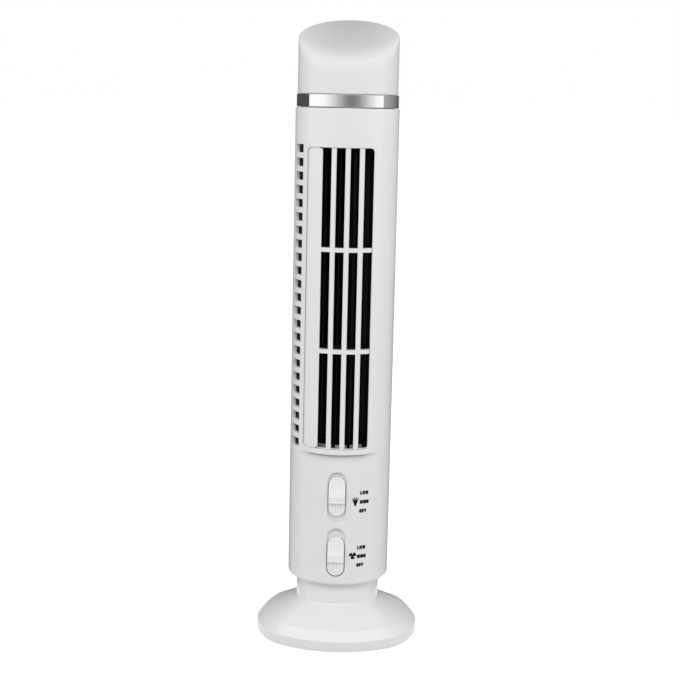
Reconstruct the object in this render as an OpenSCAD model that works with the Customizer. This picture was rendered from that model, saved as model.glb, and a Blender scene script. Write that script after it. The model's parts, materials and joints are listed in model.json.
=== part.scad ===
// Small desk tower fan with a lamp in its cap.
// A tube-shaped body stands on a flared round base. A cross-flow impeller inside draws air in
// through slots on one side and blows it out of the tall front grille. Two slide switches on
// the front work the lamp and the fan. +Z is up, the front faces -Y, millimetres throughout.

/* [Tower body] */
// Outside radius of the body
body_r = 27.2; // [26.6:0.1:29]
// Height of the plain stretch with the two switches, below the grille
lower_h = 72.2; // [71.8:0.1:78]
// Height of the full round stretch that holds the grille
zone_h = 162.7; // [150:0.1:180]
// Height of the plain stretch above the grille
head_h = 17; // [16.8:0.1:24]
// Thickness of the two body shells
wall = 1.8; // [1.6:0.1:2]
// Rounding of the body's bottom edge
body_fillet = 2; // [1:0.1:2.4]
// Half the angle that the flattened front of the body takes up
facet_half = 44.9; // [42:0.1:48]
// How far the front of the body is flattened
facet_depth = 1.2; // [0.8:0.1:1.4]
// Gap of the seam between the front and rear shells
seam_gap = 0.24; // [0.1:0.02:0.4]

/* [Base] */
// Outside radius of the foot
base_r = 44.2; // [43:0.1:50]
// Height of the base, from the table to the body
base_h = 31; // [29.5:0.1:36]
// Height of the upright rim
rim_h = 5.4; // [4:0.1:6.5]
// Slope of the flare
flare_slope = 25; // [22:0.5:28]
// How far the neck lies inside the body's outline
neck_inset = 4.85; // [4.5:0.05:5.6]
// Thickness of the base cover
base_wall = 1.8; // [1.5:0.1:2.2]
// How far the front and the back of the base are flattened
base_facet_depth = 1.6; // [1:0.1:2.2]
// Height of the rubber feet below the base plate
foot_stand = 0.8; // [0.6:0.1:1.5]
// Radius of a rubber foot
foot_r = 4; // [3:0.1:4.5]
// Thickness of the base plate
base_plate_t = 2; // [1.8:0.1:2.6]
// Thickness of the weight in the base
weight_t = 7; // [4:0.1:7.5]
// Width of the ring-shaped weight
weight_w = 12; // [8:0.1:12.5]

/* [Grille] */
// Width of one air slot
slot_w = 4.65; // [4.2:0.05:5]
// Width of the bars between the slots
bar_w = 2.5; // [1.9:0.1:2.8]
// Height of the two crossbars
crossbar_h = 2.2; // [1.6:0.1:3]
// Width of the blank strip beside the slots
blank_w = 8; // [6.5:0.1:8.2]
// Angle from the front at which the grille opening starts, on the left
window_edge = 44.3; // [42:0.1:45]
// Distance from the ends of the round stretch to the grille opening
window_margin = 2.7; // [2.4:0.1:5]
// Corner radius of the grille opening
window_corner = 2.5; // [1:0.1:4]
// How far the bars lie behind the body surface
bar_recess = 0.5; // [0.2:0.1:0.8]
// Depth of the bars from front to back
bar_depth = 2.8; // [2.4:0.1:3]

/* [Intake slots] */
// Distance between one intake slot and the next
vent_pitch = 7.05; // [6.5:0.05:8]
// Height of one intake slot
vent_h = 4.3; // [3:0.1:4.8]
// Angle from the front at which the slots on the side start
vent_start = 52; // [51.5:0.5:56]
// Angle from the front at which the slots on the side end
vent_side_end = 70; // [64:0.5:76]
// Angle from the front at which the slots on the back start
vent_back = 96; // [94:0.5:104]
// Angle from the front at which the intake slots end, round the back
vent_end = 212; // [190:1:214]
// Width of the pillars between the intake slots, in degrees
vent_pillar = 6; // [4:0.5:10]
// Thickness of the dust mesh behind the intake slots
screen_t = 0.8; // [0.5:0.1:1]

/* [Switches] */
// Height of the lamp switch above the bottom of the body
lamp_switch_up = 49.1; // [48.6:0.1:50]
// Height of the fan switch above the bottom of the body
fan_switch_up = 18.5; // [17.5:0.1:19]
// Width of a switch knob
knob_w = 9.4; // [8.4:0.1:9.8]
// Length of a switch knob
knob_l = 21.6; // [18:0.1:22]
// Travel of a switch knob from its first to its last position
travel = 4.8; // [3.6:0.1:5]
// Clear gap between a knob and its pocket
knob_gap = 0.3; // [0.2:0.05:0.4]
// Depth of the knob pocket
pocket_depth = 1.8; // [1.4:0.1:2]
// Height of the knob's lip above the pocket floor
knob_lip = 3.5; // [3.2:0.1:4.2]
// Height of the knob's flat ends above the pocket floor
knob_low = 2.1; // [1.8:0.1:2.4]
// Number of ribs across a knob
knob_ribs = 6; // [4:1:7]

/* [Air path] */
// Distance from the impeller to the circle of the grille's back
plenum = 6.9; // [6.7:0.1:9]
// Distance of the impeller's axis behind the middle of the body
axis_y = 2; // [1:0.1:2.5]
// Number of impeller blades
blades = 24; // [16:1:30]
// Width of the ring of blades
blade_w = 5; // [4:0.1:6]
// Thickness of a blade
blade_t = 0.9; // [0.7:0.1:1.2]
// Thickness of the impeller's discs
disc_t = 1.5; // [1:0.1:2]
// Gap between the impeller and the plates above and below it
impeller_gap = 1.2; // [0.8:0.1:1.6]
// Gap between the impeller and the duct walls, at its narrowest
duct_gap = 1.3; // [0.8:0.1:1.5]
// Thickness of the duct walls
duct_t = 1.2; // [1:0.1:1.4]
// Thickness of the motor plate and the bearing plate
plate_t = 2.4; // [2:0.1:3]
// Height of the collar on the motor plate
collar_h = 2.8; // [1.5:0.1:3.5]

/* [Motor] */
// Gap between the motor and the switch board
motor_gap = 2.5; // [1.5:0.1:4]
// Length of the motor's can
motor_h = 24; // [20:0.1:28]
// Radius of the motor shaft
shaft_r = 1; // [0.8:0.05:1.2]
// Radius of the steel pin at the top of the impeller
pin_r = 1.2; // [0.8:0.05:1.5]
// Running clearance of the shaft and the pin, on the radius
run_gap = 0.05; // [0.03:0.01:0.08]

/* [Power inlet] */
// Radius of the inlet's bore
jack_r = 1.8; // [1.6:0.05:2]
// Length of the inlet's bore
jack_l = 12; // [10:0.1:13]
// Height of the inlet above the bottom of the body
jack_up = 14; // [13:0.1:18]

/* [Lamp] */
// Height of the bright trim ring
ring_h = 7; // [5:0.1:9]
// How far the trim ring lies inside the body's outline
ring_inset = 0.4; // [0.2:0.1:0.6]
// How far the lamp cap lies inside the body's outline
cap_inset = 0.8; // [0.7:0.1:1.2]
// Height of the lamp cap at its middle
cap_h = 31; // [26:0.1:36]
// Slope of the cap's top
cap_slope = 21.5; // [12:0.5:25]
// Rounding of the cap's top edge
cap_round = 4; // [3:0.1:5]
// Thickness of the lamp cap
cap_wall = 1.8; // [1.4:0.1:2]
// Number of LEDs round the lamp board
led_count = 8; // [4:1:12]

/* [Fits and screws] */
// Gap between pieces that fit into each other
fit_gap = 0.1; // [0.05:0.01:0.15]
// Radius of a screw's shank
screw_r = 1.1; // [0.9:0.05:1.2]
// Radius of a screw's head
screw_head_r = 2.1; // [1.9:0.05:2.3]
// Height of a screw's head
screw_head_h = 1.4; // [1:0.1:1.6]
// Wall round a screw hole
boss_wall = 1.9; // [1.4:0.1:2]

/* [Hidden] */
$fn = 96;
eps = 0.01;
far = 80;
tall = 400;

// Levels, from the table up
zone_z0 = base_h + lower_h;
zone_z1 = zone_z0 + zone_h;
body_z1 = zone_z1 + head_h;
ring_z1 = body_z1 + ring_h;
cap_mid_z = ring_z1 + cap_h;

// The flattened front is a second, larger circle, set back so that it cuts off the front
function front_circle_r(r, depth, half) =
    let (w = r * sin(half), s = r - depth - r * cos(half)) (w * w + s * s) / (2 * s);
body_grow = front_circle_r(body_r, facet_depth, facet_half) - body_r;
body_shift = body_grow + facet_depth;
base_grow = front_circle_r(base_r, base_facet_depth, 45) - base_r;
base_shift = base_grow + base_facet_depth;

inner_r = body_r - wall;
flange_t = 1.6;
flange_w = 2;
foot_t = 1.4;
foot_z1 = base_h + flange_t + foot_t;
ledge_t = 1.1;
ledge_w = 1.6;
front_y = facet_depth - body_r;
neck_r = body_r - neck_inset;

// Grille opening, seen from the front
window_left = body_r * sin(window_edge);
window_z0 = zone_z0 + window_margin;
window_z1 = zone_z1 - window_margin;
slots_left = -window_left + blank_w;
slots_right = slots_left + 4 * slot_w + 3 * bar_w;
window_right = slots_right + 0.3;
slots_z0 = window_z0 + 0.3;
slots_z1 = window_z1 - 0.3;
slot_h = (slots_z1 - slots_z0 - 2 * crossbar_h) / 3;
grille_r1 = body_r - bar_recess;
grille_r0 = grille_r1 - bar_depth;
grille_lap = 1.8;
grille_side_lap = 0.6;

// Intake slots
vent_margin = 3.5;
vent_n = floor((zone_h - 2 * vent_margin) / vent_pitch) + 1;
vent_mid = (zone_z0 + zone_z1) / 2;
screen_gap = 0.3;
screen_start = 4;
screen_lap = 2;

// Plates, impeller and motor
impeller_r = grille_r0 - plenum;
motor_plate_z1 = zone_z0;
motor_plate_z0 = motor_plate_z1 - plate_t;
plate_gap = 0.5;
bearing_plate_z0 = zone_z1 + ledge_t + plate_gap;
bearing_plate_z1 = bearing_plate_z0 + plate_t;
impeller_z0 = motor_plate_z1 + impeller_gap;
impeller_z1 = bearing_plate_z0 - impeller_gap;
motor_z1 = motor_plate_z0;
motor_z0 = motor_z1 - motor_h;
end_cap_t = 3;
can_t = 1;
hub_r = 3.6;
hub_h = 9;
bush_r = 2.8;
damper_r = 4.8;
bush_rise = 1.8;
bush_h = plate_t + bush_rise;
duct_r = impeller_r + duct_gap;
duct_spread = 3.2;
duct_turn = 1;
duct_open_r = duct_r + duct_spread;
duct_grille_gap = 0.9;
duct_out_r = grille_r0 - duct_grille_gap;

// Switches
pocket_w = knob_w + 2 * knob_gap;
pocket_l = knob_l + travel + 2 * knob_gap;
pocket_y = front_y + pocket_depth;
pad_t = 1.8;
pad_margin = 1.6;
pad_y = pocket_y + pad_t;
stem = 2.8;
lamp_z = base_h + lamp_switch_up;
fan_z = base_h + fan_switch_up;
lamp_rest = 0;
fan_rest = -travel / 2;
switch_w = 8.6;
switch_l = 18;
switch_d = 6.7;
switch_gap = 1.6;
switch_y0 = pad_y + switch_gap;
board_y0 = switch_y0 + switch_d;
board_t = 1.6;
board_y1 = board_y0 + board_t;
board_over = 14;
board_z0 = fan_z - board_over;
board_z1 = lamp_z + board_over;
board_hole_edge = 2.6;
board_post_z = [board_z0 + board_hole_edge, board_z1 - board_hole_edge];
board_bite = 5;
lever_gap = 0.3;
channel_wall = 1.2;
socket_d = 1.2;
motor_r = axis_y - board_y1 - motor_gap;

// Screws
pilot_gap = 0.05;
pilot_r = screw_r + pilot_gap;
pass_r = screw_r + 0.2;
boss_r = screw_r + boss_wall;
shell_boss_inset = 6.4;
shell_boss_x = inner_r - shell_boss_inset;
shell_boss_up = 35;
shell_boss_down = 7;
shell_boss_z = [base_h + shell_boss_up, body_z1 - shell_boss_down];
shell_seat_y = 8;
shell_split_y = 1;
shell_bite = 6;
shell_board_gap = 2;
board_w = 2 * (shell_boss_x - boss_r - shell_board_gap);
board_post_x = board_w / 2 - board_hole_edge;
head_gap = 0.3;
base_screw_inset = 10.2;
base_screw_at = base_r - base_screw_inset;
base_screw_angles = [90, 210, 330];
base_bite = 4;
weight_gap = 2.5;
weight_r = base_screw_at - boss_r - weight_gap;
weight_post_r = 2;
weight_notch_r = 1.2;
vent_hole_r = 1.5;
weight_post_inset = 3;
neck_deck_t = 2;
neck_screw_inset = 9.35;
neck_screw_at = neck_r - neck_screw_inset;
neck_screw_angles = [90, 210, 330];
neck_bite = 6;
foot_edge = 2.4;
foot_at = base_r - base_wall - foot_edge - foot_r;

// Base levels
plate_z0 = foot_stand;
plate_z1 = plate_z0 + base_plate_t;
foot_sink = 0.5;

// Lamp
deck_t = 2.6;
deck_z0 = body_z1 - deck_t;
spigot_inset = cap_inset + cap_wall + fit_gap;
spigot_t = 1.6;
spigot_z1 = ring_z1 + 3;
led_lift = 4;
led_board_z0 = body_z1 + led_lift;
led_board_t = 1.6;
led_board_gap = 3.9;
led_board_r = body_r - spigot_inset - spigot_t - led_board_gap;
led_edge = 5;
led_ring_r = led_board_r - led_edge;
led_screw_inset = 6;
led_screw_at = led_ring_r - led_screw_inset;
led_bite = 4;
led_r = 2.5;
led_flange_r = 2.9;
led_flange_t = 1;
led_h = 3.4;

// Power inlet
jack_collar_r = 4;
jack_mouth_y = body_r - 0.4;
jack_seat_y = body_r - 8;
jack_y0 = jack_mouth_y - jack_l - 2.4;
jack_z = base_h + jack_up;

// Wires
wire_r = 0.6;
wire_angle = 42;
wire_at = inner_r - 1.3;
notch_w = 5.2;
notch_at = wire_at - 1.5;
lead_hole_at = 12;
lead_hole_r = 2.4;

// ---- Helpers ----

// Points of a round stretch
function arc(c, r, a0, a1, n = 8) =
    [for (i = [0:n]) let (a = a0 + (a1 - a0) * i / n) c + r * [cos(a), sin(a)]];

// Side outline [radius, height] of a tube section, grown outward
function grown(pts, by) = [for (p = pts) [p[0] > 0 ? p[0] + by : 0, p[1]]];

// A turned shape with a softly flattened front
module soft_front(pts, grow = body_grow, shift = body_shift) {
    intersection() {
        rotate_extrude() polygon(pts);
        translate([0, shift, 0]) rotate_extrude() polygon(grown(pts, grow));
    }
}

// The same with a flattened front and back, for the base
module soft_both(pts) {
    intersection() {
        soft_front(pts, base_grow, base_shift);
        translate([0, -base_shift, 0]) rotate_extrude() polygon(grown(pts, base_grow));
    }
}

function slab(r, z0, z1) = [[0, z0], [r, z0], [r, z1], [0, z1]];

// A slice of the body's outline, drawn in by an inset
module section(inset, z0, z1) {
    soft_front(slab(body_r - inset, z0, z1));
}

module tube(r1, r0, z0, z1) {
    translate([0, 0, z0]) difference() {
        cylinder(h = z1 - z0, r = r1);
        translate([0, 0, -1]) cylinder(h = z1 - z0 + 2, r = r0);
    }
}

module rod(r, z0, z1) {
    translate([0, 0, z0]) cylinder(h = z1 - z0, r = r);
}

// A rod along Y
module rod_y(r, y0, y1) {
    translate([0, y0, 0]) rotate([-90, 0, 0]) cylinder(h = y1 - y0, r = r);
}

// A box from corner to corner
module block(a, b) {
    translate(a) cube(b - a);
}

// A slot-shaped bar, standing along Z, between two depths
module stadium_y(w, l, y0, y1) {
    translate([0, y1, 0]) rotate([90, 0, 0]) linear_extrude(y1 - y0) {
        square([w, l - w], center = true);
        for (s = [-1, 1]) translate([0, s * (l - w) / 2]) circle(w / 2);
    }
}

// A pan-head screw pointing along +Z, its head's seat at the origin
module screw(len) {
    cross_w = 0.7;
    cross_l = screw_head_r * 1.1;
    difference() {
        union() {
            translate([0, 0, -screw_head_h]) cylinder(h = screw_head_h, r = screw_head_r);
            translate([0, 0, -eps]) cylinder(h = len, r = screw_r);
        }
        for (a = [0, 90]) rotate(a)
            translate([-cross_l / 2, -cross_w / 2, -screw_head_h - 1])
                cube([cross_l, cross_w, 1 + screw_head_h * 0.55]);
    }
}

// Places in a ring
module ring_at(r, angles) {
    for (a = angles) rotate(a) translate([r, 0, 0]) children();
}

// A thin tube swept along a route, eight-sided
function ring_of(p, q, r) =
    let (d = (q - p) / norm(q - p), u = cross(d, [0.6, -0.8, 0]), v = u / norm(u), w = cross(d, v))
    [for (i = [0:7]) v * r * cos(i * 45) + w * r * sin(i * 45)];
module wire(route) {
    n = len(route);
    pts = [for (k = [0:n - 1])
        let (a = route[max(k - 1, 0)], b = route[min(k + 1, n - 1)])
        for (o = ring_of(a, b, wire_r)) route[k] + o];
    sides = [for (k = [0:n - 2], i = [0:7])
        let (j = (i + 1) % 8)
        for (t = [[8 * k + i, 8 * k + j, 8 * k + 8 + i], [8 * k + j, 8 * k + 8 + j, 8 * k + 8 + i]]) t];
    ends = concat([for (i = [1:6]) [0, i + 1, i]],
                  [for (i = [1:6]) [8 * (n - 1), 8 * (n - 1) + i, 8 * (n - 1) + i + 1]]);
    polyhedron(pts, concat(sides, ends));
}

// ---- Base ----

// Side outline of the base, drawn in by t: rim, rounded shoulder, straight flare, hollow curve, neck
shoulder = 5;
hollow = 2.5;
hollow_z = rim_h + (shoulder + hollow) / cos(flare_slope)
    + (base_r - shoulder - neck_r - hollow) * tan(flare_slope);
function base_outline(t) =
    let (top = base_h - (t > 0 ? neck_deck_t : 0))
    concat([[0, plate_z0], [base_r - t, plate_z0]],
           arc([base_r - shoulder, rim_h], shoulder - t, 0, 90 - flare_slope, 6),
           arc([neck_r + hollow, hollow_z], hollow + t, 270 - flare_slope, 180, 6),
           [[neck_r - t, top], [0, top]]);

module base_cover() color("whitesmoke") {
    difference() {
        union() {
            difference() {
                soft_both(base_outline(0));
                soft_both(base_outline(base_wall));
                translate([0, 0, -far]) rod(far, 0, far + plate_z0 + eps);
            }
            intersection() {
                soft_both(base_outline(base_wall / 2));
                union() {
                    ring_at(base_screw_at, base_screw_angles) rod(boss_r, plate_z1, base_h);
                    ring_at(weight_r - weight_post_inset, [30, 150, 270])
                        rod(weight_post_r, plate_z1 + weight_t, base_h);
                }
            }
        }
        ring_at(base_screw_at, base_screw_angles) rod(pilot_r, plate_z1 - 1, plate_z1 + base_bite + 1);
        ring_at(neck_screw_at, neck_screw_angles) rod(pass_r, base_h - neck_deck_t - 1, base_h + 1);
    }
}

module base_plate() color("white") {
    difference() {
        soft_both(slab(base_r - base_wall - fit_gap, plate_z0, plate_z1));
        ring_at(base_screw_at, base_screw_angles) {
            rod(pass_r, 0, plate_z1 + 1);
            rod(screw_head_r + head_gap, 0, plate_z0 + base_plate_t / 2);
        }
        ring_at(foot_at, [45:90:315]) rod(foot_r, -1, plate_z0 + foot_sink);
        ring_at(weight_r - weight_w / 2, [0:60:300]) rod(vent_hole_r, -1, plate_z1 + 1);
    }
}

module rubber_feet() color("dimgray") {
    ring_at(foot_at, [45:90:315]) rod(foot_r, 0, plate_z0 + foot_sink);
}

module base_plate_screws() color("silver") {
    ring_at(base_screw_at, base_screw_angles)
        translate([0, 0, plate_z0 + base_plate_t / 2]) screw(base_plate_t / 2 + base_bite);
}

module base_weight() color("slategray") {
    difference() {
        tube(weight_r, weight_r - weight_w, plate_z1, plate_z1 + weight_t);
        ring_at(weight_r, [0:45:315]) rod(weight_notch_r, plate_z1 - 1, far);
    }
}

module neck_screws() color("silver") {
    ring_at(neck_screw_at, neck_screw_angles)
        translate([0, 0, base_h - neck_deck_t]) screw(neck_deck_t + neck_bite);
}

// Plug that closes the bottom of the body and takes the screws from the neck
module tower_foot() color("white") {
    difference() {
        union() {
            section(wall + flange_w + fit_gap, base_h, base_h + flange_t + eps);
            section(wall + fit_gap, base_h + flange_t, foot_z1);
            ring_at(neck_screw_at, neck_screw_angles) rod(boss_r, base_h + 1, base_h + neck_bite + 2);
        }
        ring_at(neck_screw_at, neck_screw_angles) rod(pilot_r, base_h - 1, base_h + neck_bite + 1);
    }
}

// ---- Body shells ----

// Outside of the body: flattened front, but full round along the grille
module body_outside() {
    soft_front(concat([[0, base_h]],
        arc([body_r - body_fillet, base_h + body_fillet], body_fillet, -90, 0, 4),
        [[body_r, body_z1 - 0.4], [body_r - 0.4, body_z1], [0, body_z1]]));
    rod(body_r, zone_z0, zone_z1);
}

// Hollow of the body, above the bottom flange
module body_inside() {
    section(wall + flange_w, base_h - 1, base_h + flange_t + 1);
    section(wall, base_h + flange_t, body_z1 + 1);
    rod(inner_r, zone_z0, zone_z1);
}

// Narrow shelves that hold the foot, the two plates and the lamp deck
module ledges() {
    difference() {
        for (z = [foot_z1 + fit_gap, motor_plate_z0 - ledge_t, bearing_plate_z0 - ledge_t,
                  deck_z0 - ledge_t])
            difference() {
                section(wall - eps, z, z + ledge_t);
                section(wall + ledge_w, z - 1, z + ledge_t + 1);
            }
        wire_notch(inner_r - fit_gap);
    }
}

// Room for the lamp leads along the wall
module wire_notch(r) {
    rotate(wire_angle)
        block([notch_at, -notch_w / 2, motor_plate_z0 - 3], [r, notch_w / 2, bearing_plate_z1 + 1]);
}

// Half of the body, in front of or behind the seam
module half_space(side) {
    translate([-far, side > 0 ? seam_gap / 2 : -far - seam_gap / 2, 0]) cube([2 * far, far, tall]);
}

// Cutter for all the intake slots between two angles from the front, towards -X
module vents(a0, a1) {
    rotate(-90 - a1) rotate_extrude(angle = a1 - a0)
        for (k = [0:vent_n - 1])
            translate([inner_r - 2, vent_mid + (k - (vent_n - 1) / 2) * vent_pitch - vent_h / 2])
                square([wall + 4, vent_h]);
}

// Rectangle with round corners, cut through along Y
module window(x0, x1, z0, z1, r, y0, y1) {
    translate([0, y1, 0]) rotate([90, 0, 0]) linear_extrude(y1 - y0) {
        translate([x0 + r, z0]) square([x1 - x0 - 2 * r, z1 - z0]);
        translate([x0, z0 + r]) square([x1 - x0, z1 - z0 - 2 * r]);
        for (x = [x0 + r, x1 - r], z = [z0 + r, z1 - r]) translate([x, z]) circle(r);
    }
}

module shell_bosses(y0, y1) {
    for (s = [-1, 1], z = shell_boss_z) translate([s * shell_boss_x, 0, z]) rod_y(boss_r, y0, y1);
}

module front_shell() color("whitesmoke") {
    difference() {
        union() {
            intersection() {
                difference() {
                    body_outside();
                    body_inside();
                }
                half_space(-1);
            }
            intersection() {
                ledges();
                half_space(-1);
            }
            intersection() {
                section(wall / 2, base_h, body_z1);
                union() {
                    shell_bosses(-far, shell_split_y);
                    for (z = [lamp_z, fan_z]) translate([0, 0, z])
                        stadium_y(pocket_w + 2 * pad_margin, pocket_l + 2 * pad_margin, -far, pad_y);
                    for (x = [-1, 1], z = board_post_z) translate([x * board_post_x, 0, z])
                        rod_y(boss_r - 0.4, -far, board_y0);
                }
            }
            seam_lip();
        }
        window(-window_left, window_right, window_z0, window_z1, window_corner, -far, -5);
        vents(vent_start, vent_side_end);
        for (z = [lamp_z, fan_z]) translate([0, 0, z]) {
            stadium_y(pocket_w, pocket_l, -far, pocket_y);
            block([-stem / 2 - knob_gap, -far, -(stem + travel) / 2 - knob_gap],
                  [stem / 2 + knob_gap, pad_y + 1, (stem + travel) / 2 + knob_gap]);
        }
        for (x = [-1, 1], z = board_post_z) translate([x * board_post_x, 0, z])
            rod_y(pilot_r, board_y0 - board_bite - 1, board_y0 + 1);
        for (s = [-1, 1], z = shell_boss_z) translate([s * shell_boss_x, 0, z])
            rod_y(pilot_r, -shell_bite - 1, shell_split_y + 1);
    }
}

// Lip inside the seam that covers the joint between the shells
lip_w = 0.8;
lip_l = 1.8;
module seam_lip() {
    intersection() {
        tube(inner_r + lip_w, inner_r - eps, foot_z1 + 2, deck_z0 - 2);
        translate([-far, -seam_gap / 2 - 0.5, 0]) cube([2 * far, lip_l + 0.5, tall]);
    }
}

module rear_shell() color("whitesmoke") {
    difference() {
        union() {
            intersection() {
                difference() {
                    body_outside();
                    body_inside();
                }
                half_space(1);
            }
            intersection() {
                ledges();
                translate([-far, lip_l + 0.3, 0]) cube([2 * far, far, tall]);
            }
            intersection() {
                section(wall / 2, base_h, body_z1);
                union() {
                    shell_bosses(shell_split_y, far);
                    translate([0, 0, jack_z]) rod_y(jack_collar_r + 2.2, jack_seat_y, far);
                }
            }
        }
        intersection() {
            tube(inner_r + lip_w + fit_gap, inner_r - 1, foot_z1 + 2 - fit_gap, deck_z0 - 2 + fit_gap);
            translate([-far, -1, 0]) cube([2 * far, lip_l + 1.1, tall]);
        }
        for (seg = vent_segments) vents(seg[0], seg[1]);
        for (s = [-1, 1], z = shell_boss_z) translate([s * shell_boss_x, 0, z]) {
            rod_y(pass_r, 0, shell_seat_y + 1);
            rod_y(screw_head_r + head_gap, shell_seat_y, far);
        }
        translate([0, 0, jack_z]) rod_y(jack_collar_r + fit_gap, jack_seat_y - 1, far);
    }
}

// Start and end angles of the intake slots on the rear shell, between pillars
vent_rear_n = 3;
vent_span = (vent_end - vent_back - (vent_rear_n - 1) * vent_pillar) / vent_rear_n;
vent_segments = [for (i = [0:vent_rear_n - 1])
    let (a = vent_back + i * (vent_span + vent_pillar)) [a, a + vent_span]];

module shell_screws() color("silver") {
    for (s = [-1, 1], z = shell_boss_z)
        translate([s * shell_boss_x, shell_seat_y, z]) rotate([90, 0, 0]) screw(shell_seat_y + shell_bite);
}

// ---- Grille ----

module outlet_grille() color("white") {
    // Frame behind the shell
    intersection() {
        tube(inner_r - fit_gap / 2, grille_r0, window_z0 - grille_lap, window_z1 + grille_lap);
        difference() {
            block([-window_left - grille_side_lap, -far, 0], [window_right + grille_side_lap, 0, tall]);
            block([slots_left, -far, slots_z0], [slots_right, 0, slots_z1]);
        }
    }
    // Blank strip and bars, up to the front
    intersection() {
        tube(grille_r1, grille_r0, window_z0, window_z1);
        union() {
            window(-window_left + fit_gap, slots_left, window_z0 + fit_gap, window_z1 - fit_gap,
                   window_corner - fit_gap, -far, 0);
            for (k = [1:3]) let (x = slots_left + k * slot_w + (k - 1) * bar_w)
                block([x, -far, slots_z0 - 0.2], [x + bar_w, 0, slots_z1 + 0.2]);
            for (k = [1:2]) let (z = slots_z0 + k * slot_h + (k - 1) * crossbar_h)
                block([slots_left - 1, -far, z], [slots_right + 0.1, 0, z + crossbar_h]);
        }
    }
}

// ---- Air path ----

// Point at an angle from the front (towards +X) and a distance round the impeller's axis
function round_axis(a, r) = [r * sin(a), axis_y - r * cos(a)];

module at_axis() {
    translate([0, axis_y, 0]) children();
}

// Fine dust mesh round the inside of the intake slots
module intake_screen() color("black") {
    a0 = vent_start + screen_start;
    a1 = vent_end + screen_lap;
    r1 = inner_r - screen_gap;
    rotate(-90 - a1) rotate_extrude(angle = a1 - a0)
        translate([r1 - screen_t, zone_z0]) square([screen_t, zone_h]);
}

// Right and rear wall of the duct, opening out towards the grille
scroll_a0 = 50;
scroll_a1 = 150;
module duct_scroll() color("black") {
    steps = 20;
    curve = function (by) [for (i = [0:steps])
        round_axis(scroll_a0 + (scroll_a1 - scroll_a0) * i / steps,
                   duct_open_r + (duct_r - duct_open_r) * i / steps + by)];
    inner = curve(0);
    outer = curve(duct_t);
    lip_x = inner[0][0];
    intersection() {
        rod(duct_out_r, motor_plate_z1, bearing_plate_z0);
        translate([0, 0, motor_plate_z1]) linear_extrude(bearing_plate_z0 - motor_plate_z1)
            polygon(concat([[lip_x, -far / 2]], inner, [for (i = [steps:-1:0]) outer[i]],
                           [[lip_x + duct_t, outer[0][1] - duct_turn], [lip_x + duct_t, -far / 2]]));
    }
}

// Wedge that parts the intake from the outlet on the left
module duct_tongue() color("black") {
    intersection() {
        rod(duct_out_r, motor_plate_z1, bearing_plate_z0);
        translate([0, 0, motor_plate_z1]) linear_extrude(bearing_plate_z0 - motor_plate_z1)
            polygon([round_axis(-46, duct_r), [slots_left - 0.4, -far / 2],
                     [slots_left - 4.6, -far / 2], round_axis(-64, duct_r + 0.4)]);
    }
}

module motor_plate() color("white") {
    teeth = [[-36, -12], [-6, 12], [18, 38]];
    difference() {
        union() {
            section(wall + fit_gap, motor_plate_z0, motor_plate_z1);
            at_axis() for (a = teeth) rotate(a[0] - 90) rotate_extrude(angle = a[1] - a[0])
                translate([duct_r, motor_plate_z1 - 0.5]) square([duct_t, collar_h + 0.5]);
        }
        at_axis() {
            rod(hub_r, motor_plate_z0 - 1, motor_plate_z1 + 1);
            ring_at(motor_screw_at, [0, 180]) {
                rod(pass_r, motor_plate_z0 - 1, motor_plate_z1 + 1);
                rod(screw_head_r + head_gap, motor_plate_z1 - screw_head_h, motor_plate_z1 + 1);
            }
        }
        wire_notch(far);
    }
}

module bearing_plate() color("white") {
    difference() {
        union() {
            section(wall + fit_gap, bearing_plate_z0, bearing_plate_z1);
            at_axis() rod(damper_r + 1.8, bearing_plate_z0, bearing_plate_z0 + bush_h);
        }
        at_axis() rod(damper_r, bearing_plate_z0 - 1, bearing_plate_z0 + bush_h + 1);
        wire_notch(far);
    }
}

module impeller() color("dimgray") {
    crossbar_z = [for (k = [1:2]) slots_z0 + k * slot_h + (k - 0.5) * crossbar_h];
    r0 = impeller_r - blade_w;
    sweep = 55;
    at_axis() {
        translate([0, 0, impeller_z0]) linear_extrude(impeller_z1 - impeller_z0)
            for (k = [0:blades - 1]) rotate(360 * k / blades)
                polygon(concat(arc([r0, blade_w], blade_w + blade_t / 2, -90, -90 + sweep, 5),
                               arc([r0, blade_w], blade_w - blade_t / 2, -90 + sweep, -90, 5)));
        for (z = crossbar_z) tube(impeller_r, r0 - 0.5, z - disc_t / 2, z + disc_t / 2);
        tube(impeller_r, hub_r - 0.8, impeller_z0, impeller_z0 + disc_t);
        tube(impeller_r, pin_r + 0.6, impeller_z1 - disc_t, impeller_z1);
    }
}

module impeller_hub() color("black") {
    z1 = impeller_z0 + disc_t + hub_h;
    at_axis() difference() {
        union() {
            rod(hub_r - 0.8, impeller_z0, z1);
            rod(hub_r, impeller_z0 + disc_t, z1);
        }
        rod(shaft_r, impeller_z0 - 1, z1 - 1.5);
    }
}

module impeller_pin() color("silver") {
    at_axis() {
        rod(pin_r, impeller_z1 - disc_t - 1.2, bearing_plate_z0 + bush_h - 0.4);
        rod(pin_r + 0.6, impeller_z1 - disc_t - 1.2, impeller_z1);
        rod(pin_r + 2, impeller_z1 - disc_t - 1.2, impeller_z1 - disc_t);
    }
}

module upper_bush() color("goldenrod") {
    at_axis() tube(bush_r, pin_r + run_gap, bearing_plate_z0, bearing_plate_z0 + bush_h);
}

module bush_damper() color("black") {
    at_axis() tube(damper_r, bush_r, bearing_plate_z0, bearing_plate_z0 + bush_h);
}

// ---- Motor ----

motor_screw_at = 0.66 * motor_r;
can_z0 = motor_z0 + end_cap_t;
can_inner_r = motor_r - can_t;
magnet_t = 2.2;
magnet_z0 = can_z0 + 2.5;
magnet_z1 = motor_z1 - can_t - 2;
armature_r = can_inner_r - magnet_t - 0.4;

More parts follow.
